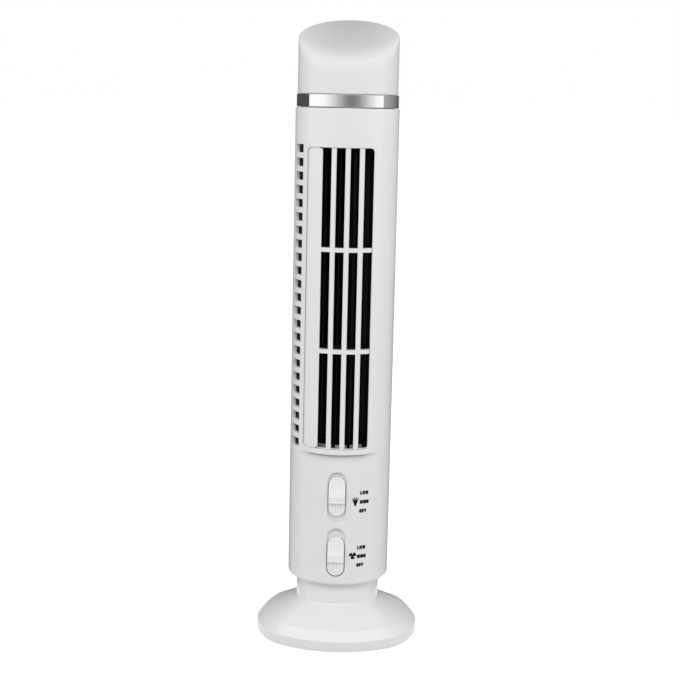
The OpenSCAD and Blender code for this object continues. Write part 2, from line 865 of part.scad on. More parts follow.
module motor_can() color("silver") {
    at_axis() difference() {
        union() {
            rod(motor_r, can_z0, motor_z1);
            rod(hub_r - 0.6, motor_z1 - eps, motor_z1 + plate_t - 0.6);
        }
        rod(can_inner_r, can_z0 - 1, motor_z1 - can_t);
        rod(shaft_r + run_gap, motor_z1 - can_t - 1, motor_z1 + plate_t);
        ring_at(motor_screw_at, [0, 180]) rod(pilot_r, motor_z1 - can_t - 1, motor_z1 + 1);
    }
}

module motor_end_cap() color("ivory") {
    at_axis() difference() {
        union() {
            rod(motor_r, motor_z0, can_z0);
            rod(can_inner_r, motor_z0, can_z0 + 1);
            rod(3.5, motor_z0 - 1.4, motor_z0 + 1);
        }
        rod(shaft_r + run_gap, motor_z0 - 0.4, can_z0 + 2);
        for (s = [-1, 1]) block([s * 6 - 0.3, -1.2, motor_z0 - 1], [s * 6 + 0.3, 1.2, can_z0 + 2]);
    }
}

module motor_terminals() color("goldenrod") {
    at_axis() for (s = [-1, 1]) difference() {
        block([s * 6 - 0.3, -1.2, motor_z0 - 4], [s * 6 + 0.3, 1.2, can_z0 + 1]);
        translate([s * 6 - 1, 0, motor_z0 - 2.6]) rotate([0, 90, 0]) cylinder(h = 2, r = 0.6);
    }
}

module motor_magnets() color("darkslategray") {
    at_axis() for (a = [0, 180]) rotate(a - 60) rotate_extrude(angle = 120)
        translate([can_inner_r - magnet_t, magnet_z0]) square([magnet_t, magnet_z1 - magnet_z0]);
}

// Three-pole armature with its windings and commutator
module motor_armature() color("orangered") {
    at_axis() difference() {
        union() {
            intersection() {
                rod(armature_r, magnet_z0 + 1.5, magnet_z1 - 2);
                union() {
                    for (a = [0, 120, 240]) rotate(a) {
                        block([0, -1.4, 0], [armature_r, 1.4, far * 2]);
                        block([armature_r - 1.5, -5.4, 0], [armature_r + 1, 5.4, far * 2]);
                    }
                    rod(2.6, 0, far * 2);
                }
            }
            for (a = [0, 120, 240]) rotate(a)
                block([2.4, -2.8, magnet_z0 + 2.4], [armature_r - 1.9, 2.8, magnet_z1 - 2.9]);
            rod(2.2, can_z0 + 1.3, magnet_z0 + 2);
        }
        rod(shaft_r, 0, far * 2);
    }
}

module motor_shaft() color("silver") {
    at_axis() rod(shaft_r, motor_z0 - 0.3, impeller_z0 + disc_t + hub_h - 1.5);
}

module motor_screws() color("silver") {
    at_axis() ring_at(motor_screw_at, [0, 180])
        translate([0, 0, motor_plate_z1 - screw_head_h]) rotate([180, 0, 0])
            screw(plate_t - screw_head_h + can_t + 1);
}

// ---- Switches ----

module switch_board() color("darkgreen") {
    difference() {
        block([-board_w / 2, board_y0, board_z0], [board_w / 2, board_y1, board_z1]);
        for (x = [-1, 1], z = board_post_z) translate([x * board_post_x, 0, z])
            rod_y(pass_r, board_y0 - 1, board_y1 + 1);
    }
}

module board_screws() color("silver") {
    for (x = [-1, 1], z = board_post_z)
        translate([x * board_post_x, board_y1, z]) rotate([90, 0, 0]) screw(board_t + board_bite);
}

module resistors() color("tan") {
    y = board_y1;
    for (k = [0:2]) let (x = -6 + 6 * k, z = (lamp_z + fan_z) / 2) translate([x, 0, z]) {
        translate([0, y + 1.3, -3.2]) rod(1.2, 0, 6.4);
        for (s = [-1, 1]) translate([0, 0, s * 4]) {
            translate([0, y + 1.3, s > 0 ? -0.8 : -0.3]) rod(0.3, 0, 1.1);
            rod_y(0.3, y, y + 1.3);
        }
    }
}

// Slide switch, soldered to the board, with a channel for its lever
module switch_body(z) {
    side = stem / 2 + knob_gap;
    run = (stem + travel) / 2 + knob_gap;
    difference() {
        block([-switch_w / 2, switch_y0, z - switch_l / 2], [switch_w / 2, board_y0, z + switch_l / 2]);
        block([-side, switch_y0 - 1, z - run], [side, board_y0 - channel_wall, z + run]);
    }
}

module lamp_switch_body() color("silver") {
    switch_body(lamp_z);
}

module fan_switch_body() color("silver") {
    switch_body(fan_z);
}

// Lever between the knob and the switch
knob_y = pocket_y - knob_gap;
module switch_lever(z) {
    block([-stem / 2, knob_y - socket_d, z - stem / 2],
          [stem / 2, board_y0 - channel_wall - lever_gap, z + stem / 2]);
}

module lamp_switch_lever() color("black") {
    switch_lever(lamp_z + lamp_rest);
}

module fan_switch_lever() color("black") {
    switch_lever(fan_z + fan_rest);
}

// Knob: a ramp that rises to a lip just below the middle, with ribs along it
function knob_side(lift) =
    let (h = knob_l / 2, low = knob_low - knob_gap + lift, lip = knob_lip - knob_gap + lift)
    [[-h, 0], [-h, low - 0.4], [-h + 1.2, low], [-3.3, low], [-2.9, lip], [-1.4, lip],
     [h - 1.6, low], [h, low - 0.5], [h, 0]];

module knob(z) {
    rib_t = 0.65;
    rib_h = 0.35;
    rib_pitch = (knob_w - 2.4) / knob_ribs;
    translate([0, knob_y, z]) difference() {
        intersection() {
            stadium_y(knob_w, knob_l, -far, 0);
            rotate([180, -90, 0]) {
                translate([0, 0, -knob_w / 2]) linear_extrude(knob_w) polygon(knob_side(0));
                intersection() {
                    for (k = [0:knob_ribs - 1])
                        translate([0, 0, (k - (knob_ribs - 1) / 2) * rib_pitch - rib_t / 2])
                            linear_extrude(rib_t) polygon(knob_side(rib_h));
                    union() {
                        block([-knob_l / 2 + 2, 0, -knob_w], [-4, 20, knob_w]);
                        block([-0.9, 0, -knob_w], [knob_l / 2 - 2.4, 20, knob_w]);
                    }
                }
            }
        }
        block([-stem / 2, -socket_d, -stem / 2], [stem / 2, 1, stem / 2]);
    }
}

module lamp_knob() color("white") {
    knob(lamp_z + lamp_rest);
}

module fan_knob() color("white") {
    knob(fan_z + fan_rest);
}

// ---- Power inlet ----

module power_jack() color("black") {
    translate([0, 0, jack_z]) difference() {
        union() {
            rod_y(jack_collar_r, jack_seat_y - 1, jack_mouth_y);
            block([-5, jack_y0, -5], [5, jack_seat_y, 5]);
        }
        rod_y(jack_r, jack_mouth_y - jack_l, jack_mouth_y + 1);
    }
}

// ---- Lamp ----

module lamp_deck() color("white") {
    posts = [90, 210, 330];
    difference() {
        union() {
            section(wall + fit_gap, deck_z0, body_z1);
            difference() {
                section(spigot_inset, body_z1 - eps, spigot_z1);
                section(spigot_inset + spigot_t, body_z1, spigot_z1 + 1);
            }
            ring_at(led_screw_at, posts) rod(boss_r, body_z1 - eps, led_board_z0);
        }
        ring_at(led_screw_at, posts) rod(pilot_r, deck_z0 + 1, led_board_z0 + 1);
        rotate(wire_angle) translate([lead_hole_at, 0, 0]) rod(lead_hole_r, deck_z0 - 1, body_z1 + 1);
    }
}

module chrome_ring() color("silver") {
    difference() {
        section(ring_inset, body_z1, ring_z1);
        section(spigot_inset - fit_gap, body_z1 - 1, ring_z1 + 1);
    }
}

module led_board() color("white") {
    difference() {
        rod(led_board_r, led_board_z0, led_board_z0 + led_board_t);
        ring_at(led_screw_at, [90, 210, 330]) rod(pass_r, led_board_z0 - 1, led_board_z0 + 3);
    }
}

module leds() color("lightyellow") {
    ring_at(led_ring_r, [for (k = [0:led_count - 1]) 15 + 360 * k / led_count])
        translate([0, 0, led_board_z0 + led_board_t]) {
            cylinder(h = led_flange_t, r = led_flange_r);
            cylinder(h = led_h, r = led_r);
            translate([0, 0, led_h]) sphere(led_r);
        }
}

module led_screws() color("silver") {
    ring_at(led_screw_at, [90, 210, 330])
        translate([0, 0, led_board_z0 + led_board_t]) rotate([180, 0, 0]) screw(led_board_t + led_bite);
}

// Distance from the middle to the cap's outline, at an angle from the front
function outline(t, inset) =
    let (r = body_r - inset, k = -body_shift * cos(t))
    min(r, k + sqrt(k * k + pow(r + body_grow, 2) - body_shift * body_shift));

// Side outline of the cap at an angle: upright wall, then the rounded edge up to the sloping top
cap_steps = 72;
cap_k = 6;
function cap_side(t, inset, round, top) =
    let (r = outline(t, inset), m = cos(t) * tan(cap_slope), a1 = atan2(1, m), c = r - round,
         z = top - c * m - round * sqrt(1 + m * m))
    concat([[r, ring_z1]],
           [for (k = [0:cap_k]) let (a = a1 * k / cap_k) [c + round * cos(a), z + round * sin(a)]]);
function cap_skin(inset, round, top) =
    concat([for (j = [0:cap_steps - 1]) let (t = 360 * j / cap_steps)
            for (p = cap_side(t, inset, round, top)) [p[0] * sin(t), -p[0] * cos(t), p[1]]],
           [[0, 0, top]]);

module lamp_diffuser() color("white") {
    m = cap_k + 2;
    n = cap_steps * m;
    next = function (j) ((j + 1) % cap_steps) * m;
    skin = function (base, side) [for (j = [0:cap_steps - 1]) let (a = j * m, b = next(j))
        for (f = concat([for (k = [0:m - 2]) [a + k, a + k + 1, b + k + 1, b + k]],
                        [[a + m - 1, n, b + m - 1]]))
            [for (i = [0:len(f) - 1]) base + f[side > 0 ? i : len(f) - 1 - i]]];
    rim = [for (j = [0:cap_steps - 1]) [j * m, next(j), n + 1 + next(j), n + 1 + j * m]];
    quads = concat(skin(0, 1), skin(n + 1, -1), rim);
    polyhedron(concat(cap_skin(cap_inset, cap_round, cap_mid_z),
                      cap_skin(cap_inset + cap_wall, cap_round - cap_wall + 0.2,
                               cap_mid_z - cap_wall / cos(cap_slope))),
               [for (f = quads, i = [1:len(f) - 2]) [f[0], f[i], f[i + 1]]]);
}

// ---- Leads ----

// From the motor's terminals to the switch board
module motor_leads() color("red") {
    z = motor_z0 - 2.6;
    for (s = [-1, 1])
        wire([[s * 6, axis_y - 1.2, z], [s * 6, axis_y - 3, z], [s * 5.6, axis_y - 8, z - 2],
              [s * 5, board_y1 + 2, z - 3.4], [s * 5, board_y1, z - 3.4]]);
}

// From the switch board up the wall to the lamp board
module lamp_leads() color("firebrick") {
    y = board_y1;
    z0 = board_z1 - 6;
    z1 = z0 + 8;
    turn_z = bearing_plate_z1 + 1.5;
    rise = turn_z - 2 - z1;
    c = cos(wire_angle);
    s = sin(wire_angle);
    for (k = [-1, 1])
        let (o = 0.9 * k, x = 4 - k, z = z0 - 1.1 * k,
             at = function (r, z) [r * c - o * s, r * s + o * c, z],
             past = function (a, d, z) concat(round_axis(a, motor_r + d - k), z))
        wire(concat([[x, y, z], [x, y + 0.8, z], [x + 0.6, y + 2.2, z], past(56, 3, z), past(82, 3.4, z),
                     past(107, 5, z0 + 1), at(wire_at, z0 + 4) - [0, 3, 0]],
                    [for (i = [0:8]) at(wire_at, z1 + rise * i / 8)],
                    [for (q = [[wire_at - 0.6, -0.7], [wire_at - 2, 0], [18, 0], [14, 0], [12.6, 0.5],
                               [lead_hole_at, 2]]) at(q[0], turn_z + q[1])],
                    [at(lead_hole_at, led_board_z0)]));
}

// From the inlet to the switch board
module power_leads() color("maroon") {
    y1 = board_y1;
    for (s = [-1, 1])
        wire([[s * 2.5, jack_y0, jack_z], [s * 2.5, jack_y0 - 2, jack_z],
              [s * 3, (jack_y0 + y1) / 2, jack_z + 3], [s * 3, y1 + 2, jack_z + 1],
              [s * 3, y1, jack_z + 1]]);
}

base_cover();
base_plate();
base_weight();
rubber_feet();
base_plate_screws();
neck_screws();
tower_foot();
front_shell();
rear_shell();
shell_screws();
outlet_grille();
intake_screen();
duct_scroll();
duct_tongue();
motor_plate();
bearing_plate();
motor_can();
motor_end_cap();
motor_terminals();
motor_magnets();
motor_screws();
motor_shaft();
motor_armature();
impeller();
impeller_hub();
impeller_pin();
upper_bush();
bush_damper();
switch_board();
board_screws();
resistors();
lamp_switch_body();
fan_switch_body();
lamp_switch_lever();
fan_switch_lever();
lamp_knob();
fan_knob();
power_jack();
lamp_deck();
chrome_ring();
led_board();
leds();
led_screws();
lamp_diffuser();
motor_leads();
lamp_leads();
power_leads();
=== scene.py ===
import json
import math
import bmesh
import bpy
from mathutils import Matrix, Vector


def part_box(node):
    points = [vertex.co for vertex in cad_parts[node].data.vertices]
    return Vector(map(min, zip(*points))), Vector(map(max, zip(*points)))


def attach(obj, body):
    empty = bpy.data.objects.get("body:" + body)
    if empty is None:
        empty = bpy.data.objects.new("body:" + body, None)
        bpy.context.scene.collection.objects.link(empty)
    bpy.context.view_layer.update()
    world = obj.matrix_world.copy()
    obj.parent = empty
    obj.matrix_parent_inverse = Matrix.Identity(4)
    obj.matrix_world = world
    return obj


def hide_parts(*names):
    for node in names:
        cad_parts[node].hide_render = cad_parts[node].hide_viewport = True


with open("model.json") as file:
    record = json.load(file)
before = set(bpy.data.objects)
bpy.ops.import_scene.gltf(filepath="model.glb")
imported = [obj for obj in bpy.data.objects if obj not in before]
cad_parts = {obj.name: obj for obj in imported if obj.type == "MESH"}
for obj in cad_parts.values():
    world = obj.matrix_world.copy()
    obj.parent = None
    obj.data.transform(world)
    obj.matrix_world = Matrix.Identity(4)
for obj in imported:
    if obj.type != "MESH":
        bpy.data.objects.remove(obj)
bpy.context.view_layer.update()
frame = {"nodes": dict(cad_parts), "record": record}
cad = frame["nodes"]
mm = 0.001
for spare in ("Cube", "Light", "Camera"):
    if spare in bpy.data.objects:
        bpy.data.objects.remove(bpy.data.objects[spare])


def addNode(tree, kind, feeds=None, **settings):
    # feeds: socket name or number to a value, or to the socket that drives it
    made = tree.nodes.new(kind)
    for key, value in settings.items():
        setattr(made, key, value)
    for key, value in (feeds or {}).items():
        if isinstance(value, bpy.types.NodeSocket):
            tree.links.new(value, made.inputs[key])
        else:
            made.inputs[key].default_value = value
    return made


def sums(tree, operation, first, second=0.0, clamp=False):
    feeds = {0: first, 1: second}
    return addNode(tree, "ShaderNodeMath", feeds, operation=operation, use_clamp=clamp).outputs[0]


def spread(tree, value, low, high, newLow=0.0, newHigh=1.0):
    feeds = {"Value": value, "From Min": low, "From Max": high, "To Min": newLow, "To Max": newHigh}
    return addNode(tree, "ShaderNodeMapRange", feeds).outputs[0]


def blendColour(tree, share, first, second):
    return addNode(tree, "ShaderNodeMix", {0: share, 6: first, 7: second}, data_type="RGBA").outputs[2]


def linkPiece(name, mesh, rideOn=None):
    piece = bpy.data.objects.new(name, mesh)
    bpy.context.collection.objects.link(piece)
    if rideOn:
        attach(piece, rideOn)
    return piece


def rotation(degrees, axis):
    return Matrix.Rotation(math.radians(degrees), 4, axis)


# the camera stands before the fan, a little above its middle; metres, degrees and a lens in mm
cameraSpot = dict(distance=0.7306, height=0.2855, aside=-0.0014, turn=2.8, tilt=80.25, roll=1.25,
                  lens=73.06, sensor=36.0, near=0.01, far=100.0)


def placeCamera(spot):
    data = bpy.data.cameras.new("camera")
    data.lens, data.sensor_width = spot["lens"], spot["sensor"]
    data.clip_start, data.clip_end = spot["near"], spot["far"]
    camera = bpy.data.objects.new("camera", data)
    bpy.context.collection.objects.link(camera)
    stand = Matrix.Translation((spot["aside"], -spot["distance"], spot["height"]))
    aim = rotation(spot["tilt"], "X") @ rotation(spot["roll"], "Z")
    camera.matrix_world = rotation(spot["turn"], "Z") @ stand @ aim
    bpy.context.scene.camera = camera


placeCamera(cameraSpot)
print("camera placed")

# plain white room: a soft sky, three softboxes, a pale floor and cards that only polished surfaces see
studio = dict(
    worldLevel=0.52, floorRadius=40.0, floorColour=(0.5, 0.5, 0.5, 1.0), floorLift=0.845,
    aimHeight=0.16,
    softboxes=[  # turn from the front, height, reach, width, length, radiance
        (-66.0, 0.42, 1.1, 0.8, 0.8, 1.7),
        (72.0, 0.42, 1.1, 0.8, 0.8, 1.87),
        (2.0, 1.0, 1.0, 0.7, 0.5, 4.75),
    ],
    tentRadius=1.6, tentInner=0.075, tentLow=0.0008, tentHigh=1.4, tentStep=4.0,
    tentFront=dict(edge=84, middle=10, dark=0.3, bright=1.5, fade=65),  # degrees from the front, brightness
    # turn from the front in degrees, brightness: the cards behind the fan, and those on the floor
    tentLeft=[(-180, 0.3), (-168, 0.3), (-160, 0.1), (-88, 0.1)],
    tentRight=[(90, 0.6), (160, 0.1), (170, 0.3), (180, 0.3)],
    tentFloor=[
        (-180, 0.02), (-140, 0.02), (-88, 0.25), (-80, 0.5), (80, 0.6), (92, 0.2), (140, 0.02), (180, 0.02),
    ],
)


def seenDirectly(tree):
    # camera, mirror and glass rays all see the white backdrop
    rays = addNode(tree, "ShaderNodeLightPath").outputs
    both = sums(tree, "ADD", rays["Is Camera Ray"], rays["Is Glossy Ray"])
    return sums(tree, "ADD", both, rays["Is Transmission Ray"], clamp=True)


def buildWorld(room):
    bpy.context.scene.view_settings.view_transform = "Standard"
    world = bpy.data.worlds.new("studio")
    world.use_nodes = True
    tree = world.node_tree
    tree.nodes.clear()
    level = addNode(tree, "ShaderNodeBackground", {"Color": (1, 1, 1, 1), "Strength": room["worldLevel"]})
    white = addNode(tree, "ShaderNodeBackground", {"Color": (1, 1, 1, 1), "Strength": 1.0})
    mix = addNode(tree, "ShaderNodeMixShader",
                  {0: seenDirectly(tree), 1: level.outputs[0], 2: white.outputs[0]})
    addNode(tree, "ShaderNodeOutputWorld", {"Surface": mix.outputs[0]})
    bpy.context.scene.world = world


def hangSoftboxes(room):
    for turn, height, reach, width, length, radiance in room["softboxes"]:
        lamp = bpy.data.lights.new("softbox", "AREA")
        lamp.shape, lamp.size, lamp.size_y = "RECTANGLE", width, length
        lamp.energy = radiance * width * length * math.pi
        box = bpy.data.objects.new("softbox", lamp)
        turn = math.radians(turn)
        box.location = (math.sin(turn) * reach, -math.cos(turn) * reach, height)
        aim = Vector((0, 0, room["aimHeight"])) - box.location
        box.rotation_euler = aim.to_track_quat("-Z", "Y").to_euler()
        box.visible_glossy = False
        bpy.context.collection.objects.link(box)


def layFloor(room):
    mesh = bmesh.new()
    bmesh.ops.create_circle(mesh, cap_ends=True, segments=96, radius=room["floorRadius"])
    sheet = bpy.data.meshes.new("floor")
    mesh.to_mesh(sheet)
    mesh.free()
    pale = bpy.data.materials.new("palePaper")
    pale.use_nodes = True
    tree = pale.node_tree
    shader = tree.nodes["Principled BSDF"]
    shader.inputs["Base Color"].default_value = room["floorColour"]
    shader.inputs["Roughness"].default_value = 0.9
    shader.inputs["Specular IOR Level"].default_value = 0.1
    shader.inputs["Emission Color"].default_value = (1, 1, 1, 1)
    lift = sums(tree, "MULTIPLY", seenDirectly(tree), room["floorLift"])
    tree.links.new(lift, shader.inputs["Emission Strength"])
    sheet.materials.append(pale)
    linkPiece("floor", sheet)


def hangCard(mesh, shade, stops, ends, stepSize):
    # a band round the set between two [reach, height] ends, its tone running from stop to stop
    rows = []
    for reach, z in ends:
        row = []
        for (turn, level), (nextTurn, nextLevel) in zip(stops, stops[1:]):
            steps = max(1, round((nextTurn - turn) / stepSize))
            for i in range(steps + (nextTurn == stops[-1][0])):
                a = math.radians(turn + (nextTurn - turn) * i / steps)
                tone = level + (nextLevel - level) * i / steps
                corner = mesh.verts.new((math.sin(a) * reach, -math.cos(a) * reach, z))
                corner[shade] = (tone, tone, tone, 1.0)
                row.append(corner)
        rows.append(row)
    for i in range(len(rows[0]) - 1):
        mesh.faces.new((rows[0][i], rows[0][i + 1], rows[1][i + 1], rows[1][i]))


def wallStops(room):
    # bright at both sides of the front, fading softly to a dark middle, and dark behind
    front = room["tentFront"]
    stops = list(room["tentLeft"])
    for turn in range(-front["edge"], front["edge"] + 1, int(room["tentStep"])):
        share = min(1.0, abs(turn - front["middle"]) / front["fade"])
        soft = share * share * (3.0 - 2.0 * share)
        stops.append((turn, front["dark"] + (front["bright"] - front["dark"]) * soft))
    return stops + room["tentRight"]


def hangCards(room):
    mesh = bmesh.new()
    shade = mesh.verts.layers.float_color.new("shade")
    wall, low = room["tentRadius"], room["tentLow"]
    hangCard(mesh, shade, wallStops(room), ((wall, 0.0), (wall, room["tentHigh"])), room["tentStep"])
    hangCard(mesh, shade, room["tentFloor"], ((room["tentInner"], low), (wall, low)), room["tentStep"])
    card = bpy.data.meshes.new("cards")
    mesh.to_mesh(card)
    mesh.free()
    paint = bpy.data.materials.new("cardPaint")
    paint.use_nodes = True
    tree = paint.node_tree
    tree.nodes.clear()
    tone = addNode(tree, "ShaderNodeVertexColor", layer_name="shade")
    glow = addNode(tree, "ShaderNodeEmission", {"Color": tone.outputs["Color"], "Strength": 1.0})
    addNode(tree, "ShaderNodeOutputMaterial", {"Surface": glow.outputs[0]})
    card.materials.append(paint)
    cards = linkPiece("cards", card)
    cards.visible_camera = cards.visible_diffuse = False
    cards.visible_transmission = cards.visible_shadow = False


buildWorld(studio)
hangSoftboxes(studio)
layFloor(studio)
hangCards(studio)
print("studio lit")


def objectPlace(tree):
    return addNode(tree, "ShaderNodeTexCoord").outputs["Object"]


def newGroup(name, inlets, outlets):
    group = bpy.data.node_groups.new(name, "ShaderNodeTree")
    for label, value in inlets:
        kind = "Vector" if isinstance(value, tuple) else "Float"
        socket = group.interface.new_socket(label, in_out="INPUT", socket_type="NodeSocket" + kind)
        socket.default_value = value
    for label, kind in outlets:
        group.interface.new_socket(label, in_out="OUTPUT", socket_type="NodeSocket" + kind)
    return group, addNode(group, "NodeGroupInput").outputs, addNode(group, "NodeGroupOutput").inputs


def makeMouldedSkin():
    # the fine texture of a mould and the slow drift of tone across a moulding
    tree, inlet, outlet = newGroup("mouldedSkin", [("Fineness", 3000.0), ("Drift", 30.0), ("Depth", 0.5)],
                                   [("Height", "Float"), ("Tone", "Float"), ("Gloss", "Float")])
    place = objectPlace(tree)
    fine = addNode(tree, "ShaderNodeTexNoise", {"Vector": place, "Scale": inlet["Fineness"], "Detail": 3.0})
    slow = addNode(tree, "ShaderNodeTexNoise", {"Vector": place, "Scale": inlet["Drift"], "Detail": 2.0})
    tree.links.new(sums(tree, "MULTIPLY", fine.outputs[0], inlet["Depth"]), outlet["Height"])
    tree.links.new(spread(tree, slow.outputs[0], 0.32, 0.68), outlet["Tone"])
    both = sums(tree, "ADD", fine.outputs[0], slow.outputs[0])
    tree.links.new(spread(tree, both, 0.7, 1.3), outlet["Gloss"])
    return tree


def makeEdgeRub():
    # outer edges, where hands and cloths polish the surface
    tree, inlet, outlet = newGroup("edgeRub", [("Width", 0.0004), ("Patchiness", 250.0)],
                                   [("Mask", "Float")])
    rounded = addNode(tree, "ShaderNodeBevel", {"Radius": inlet["Width"]}, samples=4)
    flat = addNode(tree, "ShaderNodeNewGeometry")
    match = addNode(tree, "ShaderNodeVectorMath", {0: rounded.outputs[0], 1: flat.outputs["Normal"]},
                    operation="DOT_PRODUCT")
    bend = spread(tree, match.outputs["Value"], 0.98, 0.75)
    patch = addNode(tree, "ShaderNodeTexNoise", {"Vector": objectPlace(tree), "Scale": inlet["Patchiness"]})
    tree.links.new(sums(tree, "MULTIPLY", bend, spread(tree, patch.outputs[0], 0.35, 0.6)), outlet["Mask"])
    return tree


def makeSettledDust():
    # a thin film on what faces up
    tree, inlet, outlet = newGroup("settledDust", [("Amount", 0.1), ("Patches", 120.0)],
                                   [("Mask", "Float")])
    flat = addNode(tree, "ShaderNodeNewGeometry")
    axes = addNode(tree, "ShaderNodeSeparateXYZ", {0: flat.outputs["Normal"]})
    facing = spread(tree, axes.outputs[2], 0.2, 1.0)
    patch = addNode(tree, "ShaderNodeTexNoise",
                    {"Vector": objectPlace(tree), "Scale": inlet["Patches"], "Detail": 4.0})
    film = sums(tree, "MULTIPLY", facing, spread(tree, patch.outputs[0], 0.35, 0.7))
    tree.links.new(sums(tree, "MULTIPLY", film, inlet["Amount"]), outlet["Mask"])
    return tree


def makeDrawnLines():
    # fine lines round turned and rolled metal
    tree, inlet, outlet = newGroup("drawnLines", [("Across", 9000.0), ("Along", 60.0)],
                                   [("Height", "Float"), ("Streak", "Float")])
    axes = addNode(tree, "ShaderNodeSeparateXYZ", {0: objectPlace(tree)})
    stretched = addNode(tree, "ShaderNodeCombineXYZ", {
        0: sums(tree, "MULTIPLY", axes.outputs[0], inlet["Along"]),
        1: sums(tree, "MULTIPLY", axes.outputs[1], inlet["Along"]),
        2: sums(tree, "MULTIPLY", axes.outputs[2], inlet["Across"])})
    lines = addNode(tree, "ShaderNodeTexNoise",
                    {"Vector": stretched.outputs[0], "Scale": 1.0, "Detail": 2.0})
    tree.links.new(lines.outputs[0], outlet["Height"])
    tree.links.new(spread(tree, lines.outputs[0], 0.3, 0.7), outlet["Streak"])
    return tree


def makePaintedCreaseShade():
    # painted shade in corners: a light painted shade beside them, and much darker painted shade where they
    # are closed in
    tree, inlet, outlet = newGroup("paintedCreaseShadeNodes",
                                   [("Reach", 0.005), ("Film", 0.3), ("Cave", 0.02), ("Deep", 0.4)],
                                   [("Mask", "Float")])
    corner = addNode(tree, "ShaderNodeAmbientOcclusion", {"Distance": inlet["Reach"]}, samples=8)
    film = sums(tree, "MULTIPLY", spread(tree, corner.outputs["AO"], 0.99, 0.86), inlet["Film"])
    cave = addNode(tree, "ShaderNodeAmbientOcclusion", {"Distance": inlet["Cave"]}, samples=8)
    deep = sums(tree, "MULTIPLY", spread(tree, cave.outputs["AO"], 0.1, 0.03), inlet["Deep"])
    tree.links.new(sums(tree, "ADD", film, deep), outlet["Mask"])
    return tree


def makeFacing():
    # how far the surface faces one way
    tree, inlet, outlet = newGroup("facing", [("Way", (0.0, 0.0, 1.0)), ("Start", 0.8), ("Full", 1.0)],
                                   [("Mask", "Float")])
    normal = addNode(tree, "ShaderNodeNewGeometry").outputs["Normal"]
    match = addNode(tree, "ShaderNodeVectorMath", {0: normal, 1: inlet["Way"]}, operation="DOT_PRODUCT")
    feeds = {"Value": match.outputs["Value"], "From Min": inlet["Start"], "From Max": inlet["Full"]}
    share = addNode(tree, "ShaderNodeMapRange", feeds, interpolation_type="SMOOTHSTEP")
    tree.links.new(share.outputs[0], outlet["Mask"])
    return tree


def makeMeshWeave():
    # a fine woven screen, across the height and round the axis
    tree, inlet, outlet = newGroup("meshWeave", [("Pitch", 0.0009), ("Radius", 0.025)],
                                   [("Height", "Float"), ("Wire", "Float")])
    axes = addNode(tree, "ShaderNodeSeparateXYZ", {0: objectPlace(tree)})
    back = sums(tree, "MULTIPLY", axes.outputs[1], -1.0)
    around = sums(tree, "MULTIPLY", sums(tree, "ARCTAN2", axes.outputs[0], back), inlet["Radius"])
    waves = []
    for along in (around, axes.outputs[2]):
        turn = sums(tree, "MULTIPLY", sums(tree, "DIVIDE", along, inlet["Pitch"]), math.pi)
        waves.append(sums(tree, "ABSOLUTE", sums(tree, "SINE", turn)))
    wire = sums(tree, "MAXIMUM", waves[0], waves[1])
    tree.links.new(wire, outlet["Height"])
    tree.links.new(spread(tree, wire, 0.8, 1.0), outlet["Wire"])
    return tree


effects = dict(skin=makeMouldedSkin(), rub=makeEdgeRub(), dust=makeSettledDust(), lines=makeDrawnLines(),
               paintedCreaseShade=makePaintedCreaseShade(), facing=makeFacing(), weave=makeMeshWeave())


def useEffect(tree, effect, **values):
    made = addNode(tree, "ShaderNodeGroup", node_tree=effects[effect])
    for label, value in values.items():
        made.inputs[label.capitalize()].default_value = value
    return made.outputs


